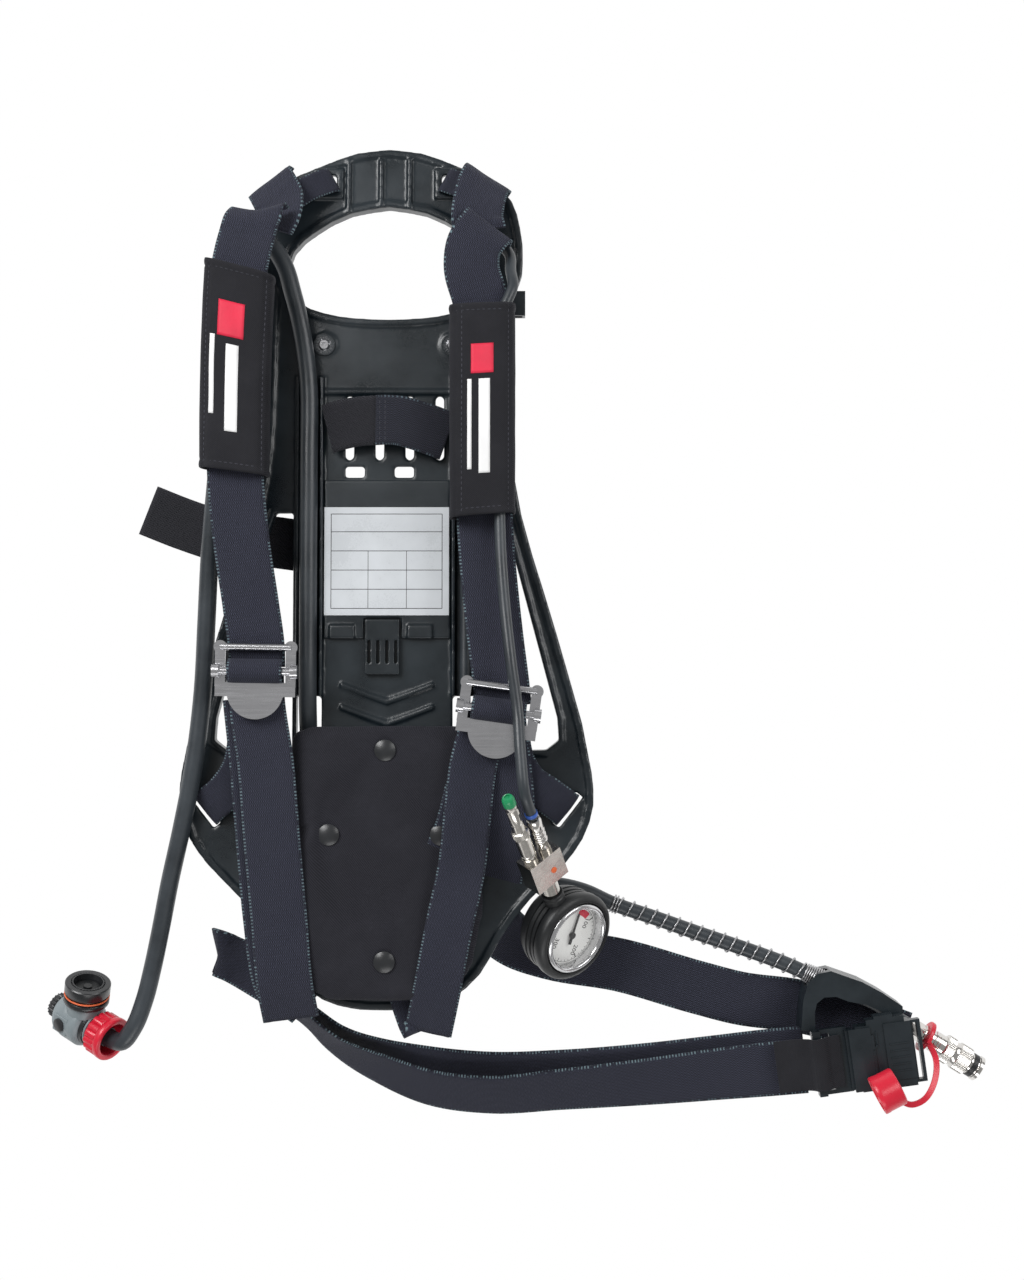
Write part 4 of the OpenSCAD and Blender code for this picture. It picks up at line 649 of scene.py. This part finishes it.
# ---- wire guard round the supply hose
sp = [Vector(p) for p in spline([sup_route[i] for i in range(5, 11)], 40)]
L = [0]
for a, b in zip(sp, sp[1:]): L.append(L[-1] + (a - b).length)
def sup_at(s):
    for i in range(len(sp) - 1):
        if L[i+1] >= s: f = (s - L[i]) / (L[i+1] - L[i]); return sp[i].lerp(sp[i+1], f), (sp[i+1] - sp[i]).normalized()
    return sp[-1], (sp[-1] - sp[-2]).normalized()
tot = L[-1]; op = tot - 15; coil = []
s = 1.0; ang = 0.0
while s < tot - .5:
    p, t = sup_at(s); sd = t.cross(Vector((0, 0, 1))).normalized(); u = sd.cross(t)
    r = 6.5 if s < op else 6.5 + .9 * (s - op) / 15
    pitch = 9.0 if s < op else 1.7
    if s < 6: pitch = 2.2
    coil.append((p + r * (math.cos(ang) * sd + math.sin(ang) * u)) * .001)
    ang += TAU / 20; s += pitch / 20
g = Geo(); g.tube(coil, .0007, 8)
g.obj("spring_guard_wire", M_wire, "root", slot="guard_wire", rep=("spring_guard",))

# ---- coupling holder
o = NOD["coupling_holder"]; bevel(o, .0009, 3)
for nm in ("buckle_left", "buckle_right"): bevel(NOD[nm], .0006, 3, 30)
for nm in ("buckle_male", "buckle_prong_upper", "buckle_prong_lower", "buckle_female"): bevel(NOD[nm], .0008, 3, 30)
for nm in ("hose_clip", "tee_block", "cylinder_handwheel", "cylinder_pad", "reducer_body"): bevel(NOD[nm], .0006, 3, 30)

def s_at_y(st, y):
    y *= .001
    for a, b in zip(st, st[1:]):
        if (a[0].y - y) * (b[0].y - y) <= 0 and a[0].y != b[0].y:
            f = (a[0].y - y) / (a[0].y - b[0].y); return a[4] + f * (b[4] - a[4])
    return 0
def edge_rows(name, st, s0, s1, offs, side=1, body="root", th=2.0):
    n = max(4, int((s1 - s0) / .006)); lines = []
    for v in offs: lines.append([(lambda q: (q[0], q[3]))(on_strap(st, s0 + (s1 - s0) * i / n, v, 0, side, th)) for i in range(n + 1)])
    return seam(name, lines, body=body)
o, st = S['sl']; a, b = s_at_y(st, -9), s_at_y(st, -29); box_stitch("stitch_shoulder_left", st, min(a, b), max(a, b), .016)
o, st = S['sr']; a, b = s_at_y(st, -36), s_at_y(st, -56); box_stitch("stitch_shoulder_right", st, min(a, b), max(a, b), .016)
o, st = S['pl']; a, b = s_at_y(st, -192), s_at_y(st, -212); box_stitch("stitch_pull_left", st, min(a, b), max(a, b), .016)
# ---- doubled layers and folds of the pull straps
S['plb'] = strap("pull_strap_left_back", [[-96, -84, 76, 184, 0], [-91, -130, 78, 184, 0], [-86, -186, 80, 184, 0], [-81, -240, 80, 184, 0], [-75, -285, 77, 186, 0], [-71, -300, 70, 188, 0], [-69, -309, 67, 188, 0], [-68, -314, 69.5, 188, 0], [-68, -312, 73.2, 188, 0]], 39, seed=8, ripple=1)
S['prb'] = strap("pull_strap_right_back", [[60, -150, 79, 174, 0], [52, -180, 77, 172, 0], [36, -215, 74, 165, 0], [21, -252, 71, 165, 6], [17, -285, 68, 162, 6], [22, -306, 66, 164, 0], [27, -319, 66, 164, 0], [29.5, -323, 68, 164, 0], [30, -321, 71, 164, 0]], 34, seed=9, ripple=1)
S['srb'] = strap("wing_layer_right", [[82, -100, 79, 172, 0], [86, -135, 77, 174, 0], [88, -165, 75, 176, 0], [84, -192, 70, 170, 0], [80, -212, 62, 164, 0], [78, -226, 55, 160, 0]], 38, seed=10)
S['bl2'] = strap("waist_belt_left_under", [[-60, -319, 25, 54, 60], [-40, -334, 21, 64, 60], [-10, -350, 13, 72, 48], [25, -361, 11, 82, 32], [75, -367, 11, 92, 26], [127, -366, 11, 94, 24], [194, -362, 10, 94, 18], [250, -357, 10, 94, 8], [290, -352, 15, 94, 0], [309, -350, 17, 94, 0]], 38, seed=11)
S['ul'] = strap("waist_turn_left", [[-93, -262, 26, 100, 30], [-80, -272, 22, 112, 30], [-72, -288, 20, 130, 30], [-70, -306, 20, 150, 30], [-64, -322, 22, 160, 25], [-50, -334, 24, 70, 20]][:4], 36, seed=12)

# ---- padded sleeves: cloth tube with hems, seams and stitching
def sleeve(name, node, a, wi, hi, seed, hem=5.0, skew=(0, 0)):
    q = spline(a, 40); n = len(q); m = 72; d = [0]
    for i in range(1, n): d.append(d[-1] + (V(q[i]) - V(q[i-1])).length)
    tot = d[-1]
    def se(v, e): return math.copysign(abs(v) ** e, v)
    def point(i, ang, inner=0):
        t = (V(q[min(i+1, n-1)]) - V(q[max(i-1, 0)])).normalized(); s = t.cross(Vector((0, 0, 1))).normalized(); u = s.cross(t)
        e = min(d[i], tot - d[i]); hemk = math.exp(-((e - 2.2) / 2.0) ** 2) * .5 - math.exp(-((e - hem) / .9) ** 2) * .55
        c, sn = math.cos(ang), math.sin(ang)
        x = wi * se(c, .5); y = hi * se(sn, .62)
        crown = 1.0 if sn > 0 else .4
        k = noise.noise(Vector((x * .035 + seed, d[i] * .018, sn + seed * 2.2))) * 1.5 + noise.noise(Vector((x * .09 + seed, d[i] * .05, sn * 2))) * .5
        # drawn in along the two edge seams
        edge = math.exp(-((abs(x) - (wi - 4.5)) / 1.1) ** 2) * .7 * (1 if sn > 0 else 0)
        off = hemk + k * crown * (1 - abs(c) ** 6 * .6) - edge
        if inner: off = -1.5 + k * .5
        nrm = (s * (c * .35) + u * (sn if abs(sn) > .05 else .05)).normalized()
        sk = skew[0] + (skew[1] - skew[0]) * d[i] / tot
        return V(q[i]) + x * s + y * u + nrm * off + Vector((0, 1, 0)) * (x * s.x * -sk)
    ring = lambda i, inner: [point(i, TAU * j / m, inner) * .001 for j in range(m)]
    vs = []; fs = []
    for i in range(n): vs += ring(i, 0)
    for i in range(n): vs += ring(i, 1)
    for i in range(n - 1):
        for j in range(m):
            fs.append((i*m + j, i*m + (j+1) % m, (i+1)*m + (j+1) % m, (i+1)*m + j))
            b = n * m; fs.append((b + i*m + j, b + (i+1)*m + j, b + (i+1)*m + (j+1) % m, b + i*m + (j+1) % m))
    for j in range(m):
        fs.append((j, n*m + j, n*m + (j+1) % m, (j+1) % m)); e = (n-1)*m
        fs.append((e + j, e + (j+1) % m, n*m + e + (j+1) % m, n*m + e + j))
    o = new_obj(name, vs, fs, M_sleeve, "root", slot="sleeve_fabric", rep=(node,)); fix_normals(o)
    def top(x, y):
        """point and normal on the upper face at x mm across and y mm from the first end"""
        i = max(0, min(n - 2, next((k for k in range(n - 1) if d[k+1] >= y), n - 2)))
        c = math.copysign((min(.999, abs(x) / wi)) ** 2, -x); ang = math.acos(c)
        p = lambda ii, aa: point(ii, aa)
        f = (y - d[i]) / max(d[i+1] - d[i], 1e-6)
        P = p(i, ang).lerp(p(i+1, ang), f); e1 = p(i+1, ang) - p(i, ang); e2 = p(i, ang + .02) - p(i, ang - .02)
        nn = e1.cross(e2).normalized()
        if nn.z < 0: nn = -nn
        return P * .001, nn
    def row(pts):
        out = []
        for (x0, y0), (x1, y1) in zip(pts, pts[1:]):
            k = max(2, int(math.hypot(x1 - x0, y1 - y0) / 5))
            for i in range(k + (1 if (x1, y1) == pts[-1] else 0)): out.append(top(x0 + (x1 - x0) * i / k, y0 + (y1 - y0) * i / k))
        return out
    return o, top, row, tot
SLL, topL, rowL, totL = sleeve("sleeve_left_cloth", "sleeve_left", [[-102, 221, 82], [-105, 150, 83], [-106, 76, 84]], 24.5, 14, 1.0, skew=(.22, .12))
SLR, topR, rowR, totR = sleeve("sleeve_right_cloth", "sleeve_right", [[70, 195, 79], [70, 120, 81], [70, 45, 84]], 23.4, 13, 5.0, skew=(-.03, -.08))
seam("stitch_sleeve_left", [rowL([(20.5, 1), (20.5, totL - 1)]), rowL([(-20.5, 1), (-20.5, totL - 1)]), rowL([(-20, 5), (20, 5)]), rowL([(-20, totL - 5), (20, totL - 5)])], slot="sleeve_fabric")
seam("stitch_sleeve_right", [rowR([(18.5, 1), (18.5, totR - 1)]), rowR([(-14.5, 1), (-14.5, totR - 1)]), rowR([(-19, 5), (19, 5)]), rowR([(-19, totR - 5), (19, totR - 5)])], slot="sleeve_fabric")
def patch(name, top, x0, x1, y0, y1, mat, lift=.00035, slot=None):
    nx, ny = max(2, int(abs(x1 - x0) / 2)), max(2, int(abs(y1 - y0) / 2)); vs = []; fs = []
    for lv in (lift, .00005):
        for i in range(nx + 1):
            for j in range(ny + 1):
                p, nn = top(x0 + (x1 - x0) * i / nx, y0 + (y1 - y0) * j / ny); vs.append(p + nn * lv)
    A = (nx + 1) * (ny + 1); k = ny + 1
    for i in range(nx):
        for j in range(ny):
            a = i * k + j; fs += [(a, a + k, a + k + 1, a + 1), (A + a, A + a + 1, A + a + k + 1, A + a + k)]
    for i in range(nx): fs += [(i*k, A + i*k, A + (i+1)*k, (i+1)*k), (i*k + ny, (i+1)*k + ny, A + (i+1)*k + ny, A + i*k + ny)]
    for j in range(ny): fs += [(j, j + 1, A + j + 1, A + j), (nx*k + j, A + nx*k + j, A + nx*k + j + 1, nx*k + j + 1)]
    o = new_obj(name, vs, fs, mat, "root", slot=slot or "label_film"); fix_normals(o); return o

# ---- cylinder band: loop pile on the left, woven on the right
S['bandR'] = strap("band_woven_half", [[-8, 117, 53, 91, 0], [8, 116.5, 53.2, 88, 0], [22, 113, 52.2, 86, 0], [36, 108.5, 49.2, 82, 0], [44, 105.5, 46.4, 80, 0]], 36, 2.4, mat=M_web_band, rep=("cylinder_band",), seed=13)
S['bandL'] = strap("band_pile_half", [[-43.5, 111, 46.4, 97, 0], [-34, 113.5, 49.2, 96, 0], [-20, 116, 51, 94, 0], [-4, 117, 51.4, 91, 0]], 36, 2.6, mat=M_pile, seed=14, ripple=.8)
S['bandT'] = strap("band_tail", [[-60, 26, 26, 100, 0], [-90, 30, 28, 100, 0], [-125, 34, 28, 102, 0], [-150, 42, 28, 108, 0], [-178, 53, 28, 115, 0]], 38, 2.6, mat=M_pile, seed=15, ripple=.8)
o, st = S['bandR']
seam("stitch_band_end", [[(lambda q_: (q_[0], q_[3]))(on_strap(st, .003, -.015 + .030 * i / 8, 0, 1, 2.4)) for i in range(9)], [(lambda q_: (q_[0], q_[3]))(on_strap(st, .007, -.015 + .030 * i / 8, 0, 1, 2.4)) for i in range(9)]])

# ---- lumbar pad by cloth simulation
def cloth_pad(name, node, vox, pins, cap, mat, body):
    me = NOD[node].data.copy(); me.transform(NOD[node].matrix_world); o = bpy.data.objects.new(name, me); scene.collection.objects.link(o)
    m = o.modifiers.new("r", 'REMESH'); m.mode = 'VOXEL'; m.voxel_size = vox
    dg = bpy.context.evaluated_depsgraph_get(); me = bpy.data.meshes.new_from_object(o.evaluated_get(dg), depsgraph=dg); o.modifiers.clear(); o.data = me
    rest = [v.co.copy() for v in me.vertices]
    vg = o.vertex_groups.new(name="pin")
    for v in me.vertices:
        w = 0
        for p, r in pins:
            dd = (Vector((v.co.x, v.co.y)) - Vector(p)).length
            if dd < r: w = 1
        if w: vg.add([v.index], w, 'REPLACE')
    c = o.modifiers.new("cloth", 'CLOTH'); cs = c.settings
    cs.quality = 6; cs.mass = .15; cs.use_pressure = True; cs.uniform_pressure_force = 4; cs.tension_stiffness = 12; cs.compression_stiffness = 4; cs.shear_stiffness = 5; cs.bending_stiffness = .5
    cs.vertex_group_mass = "pin"; cs.effector_weights.gravity = 0; c.point_cache.frame_start = 1; c.point_cache.frame_end = 20
    for f in range(1, 21): scene.frame_set(f); bpy.context.view_layer.update()
    dg = bpy.context.evaluated_depsgraph_get(); me2 = bpy.data.meshes.new_from_object(o.evaluated_get(dg), depsgraph=dg)
    o.modifiers.clear(); o.data = me2
    for v, r in zip(me2.vertices, rest):
        dlt = v.co - r
        if dlt.length > cap: v.co = r + dlt.normalized() * cap
    scene.frame_set(1)
    for v in o.data.vertices:
        v.co += Vector((0, 0, 1)) * .0006 * noise.noise(v.co * 45)
    s = o.modifiers.new("s", 'SUBSURF'); s.levels = 1; s.render_levels = 1
    dg = bpy.context.evaluated_depsgraph_get(); me = bpy.data.meshes.new_from_object(o.evaluated_get(dg), depsgraph=dg); o.modifiers.clear(); o.data = me
    me.materials.clear(); me.materials.append(mat)
    for p in me.polygons: p.use_smooth = True; p.material_index = 0
    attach(o, body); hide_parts(node)
    return o
PADSNAP = [((0, -.122), .007), ((-.04, -.182), .007), ((.04, -.182), .007), ((0, -.272), .007)]
lumbar = cloth_pad("lumbar_pad_cloth", "lumbar_pad", .0042, PADSNAP, .006, M_pad, "root")

# ---- cover label: ruled boxes only
g = Geo()
def lab(x0, y0, x1, y1, w):
    k = max(1, int(abs(y1 - y0) / 4)); lx = (x1 - x0) or w; 
    for i in range(k):
        ya, yb = y0 + (y1 - y0) * i / k, y0 + (y1 - y0) * (i + 1) / k
        za, zb = ztop(ya) + 3.12, ztop(yb) + 3.12
        if x0 == x1: c = [(x0 - w/2, ya, za), (x0 + w/2, ya, za), (x0 + w/2, yb, zb), (x0 - w/2, yb, zb)]
        else: c = [(x0, ya - w/2, za), (x1, ya - w/2, za), (x1, ya + w/2, za), (x0, ya + w/2, za)]
        n0 = len(g.v); g.v += [tuple(v_ * .001 for v_ in q_) for q_ in c]; g.f.append((n0, n0 + 1, n0 + 2, n0 + 3))
for y in (-20, -6, 8, 22, 36, 49): lab(-41, y, 40, y, .5)
for x in (-41, 40): lab(x, -20, x, 49, .5)
for x in (-14, 14): lab(x, -20, x, 22, .4)
g.obj("label_rules", M_ink, "root", slot="label_film", smooth=False)

for n, m in CADMAT.items():
    o = NOD[n]
    if o.hide_render: continue
    o.data.materials.clear(); o.data.materials.append(m)
    for p in o.data.polygons: p.material_index = 0

# washers of the panel screws are dark plastic round a bright screw
o = NOD["panel_screws"]; o.data.materials.append(M_buckle_p)
for p in o.data.polygons:
    c = o.matrix_world @ p.center
    if math.hypot(abs(c.x) - .047, c.y - .174) > .0047 or c.z < .0365: p.material_index = 1
# webbing over the roller bars
def bar_wrap(name, pos, rz, body, node):
    a = math.radians(rz); c = []
    for y, z in ((-25, -.5), (-24.2, 3), (-22, 6.4), (-19.6, 8.2), (-17, 8.8), (-14.4, 8.2), (-12, 6.4), (-9.8, 3), (-9, -.5)):
        c.append([pos[0] - y * math.sin(a), pos[1] + y * math.cos(a), pos[2] + z, rz, 0])
    strap(name, c, 38.5, 1.6, 6, body=body, rep=(node,))
bar_wrap("bar_webbing_left_web", (-90, -48, 90), -1, "left_buckle", "bar_webbing_left")
bar_wrap("bar_webbing_right_web", (84, -76, 90), -8, "right_buckle", "bar_webbing_right")
# generic marks on the sleeves: one red bar and white stripes
patch("mark_left_red", topL, -12, 6.5, 27, 52, M_printred)
patch("mark_left_white_1", topL, -5.5, 3.5, 57, 118, M_rib)
patch("mark_left_white_2", topL, -17, -13.5, 52, 107, M_rib)
patch("mark_right_red", topR, -8, 8, 29, 50, M_printred)
patch("mark_right_white_1", topR, -2.5, 5.5, 54, 121, M_rib)
patch("mark_right_white_2", topR, -10.5, -7.5, 54, 118, M_rib)

# ------------------------------------------------------------------ studio
def stage():
    me = bpy.data.meshes.new("floor"); R = 6
    me.from_pydata([(-R, -R, -.0004), (R, -R, -.0004), (R, R, -.0004), (-R, R, -.0004)], [], [(0, 1, 2, 3)])
    o = bpy.data.objects.new("floor", me); scene.collection.objects.link(o)
    m = Mat("light_table", (0, 0, 0), 1); m.b.inputs["Specular IOR Level"].default_value = 0; m.b.inputs["Emission Color"].default_value = (1, 1, 1, 1); m.b.inputs["Emission Strength"].default_value = 1.0; me.materials.append(m.m)
    out_ = [n_ for n_ in m.n if n_.type == 'OUTPUT_MATERIAL'][0]; ge = m.node('ShaderNodeNewGeometry'); tr_ = m.node('ShaderNodeBsdfTransparent'); mx_ = m.node('ShaderNodeMixShader')
    m.l.new(ge.outputs['Backfacing'], mx_.inputs[0]); m.l.new(m.b.outputs[0], mx_.inputs[1]); m.l.new(tr_.outputs[0], mx_.inputs[2]); m.l.new(mx_.outputs[0], out_.inputs['Surface'])
    w = bpy.data.worlds.new("studio"); scene.world = w; w.use_nodes = True
    bg = w.node_tree.nodes["Background"]; bg.inputs[0].default_value = (1, 1, 1, 1); bg.inputs[1].default_value = .33
    def area(name, loc, size, power, size_y=None):
        d = bpy.data.lights.new(name, 'AREA'); d.energy = power; d.size = size; d.shape = 'RECTANGLE'; d.size_y = size_y or size
        l = bpy.data.objects.new(name, d); scene.collection.objects.link(l); l.location = loc
        l.rotation_euler = (Vector((.05, -.05, 0)) - Vector(loc)).to_track_quat('-Z', 'Y').to_euler()
        return l
    area("key", (-1.1, 1.0, 1.5), .9, 40, 1.2)
    area("fill", (1.4, .6, 1.3), .7, 13, 1.2)
    area("low", (.2, -1.6, 1.1), 1.2, 8, .5)
stage()
scene.view_settings.view_transform = 'Standard'
scene.view_settings.look = 'None'
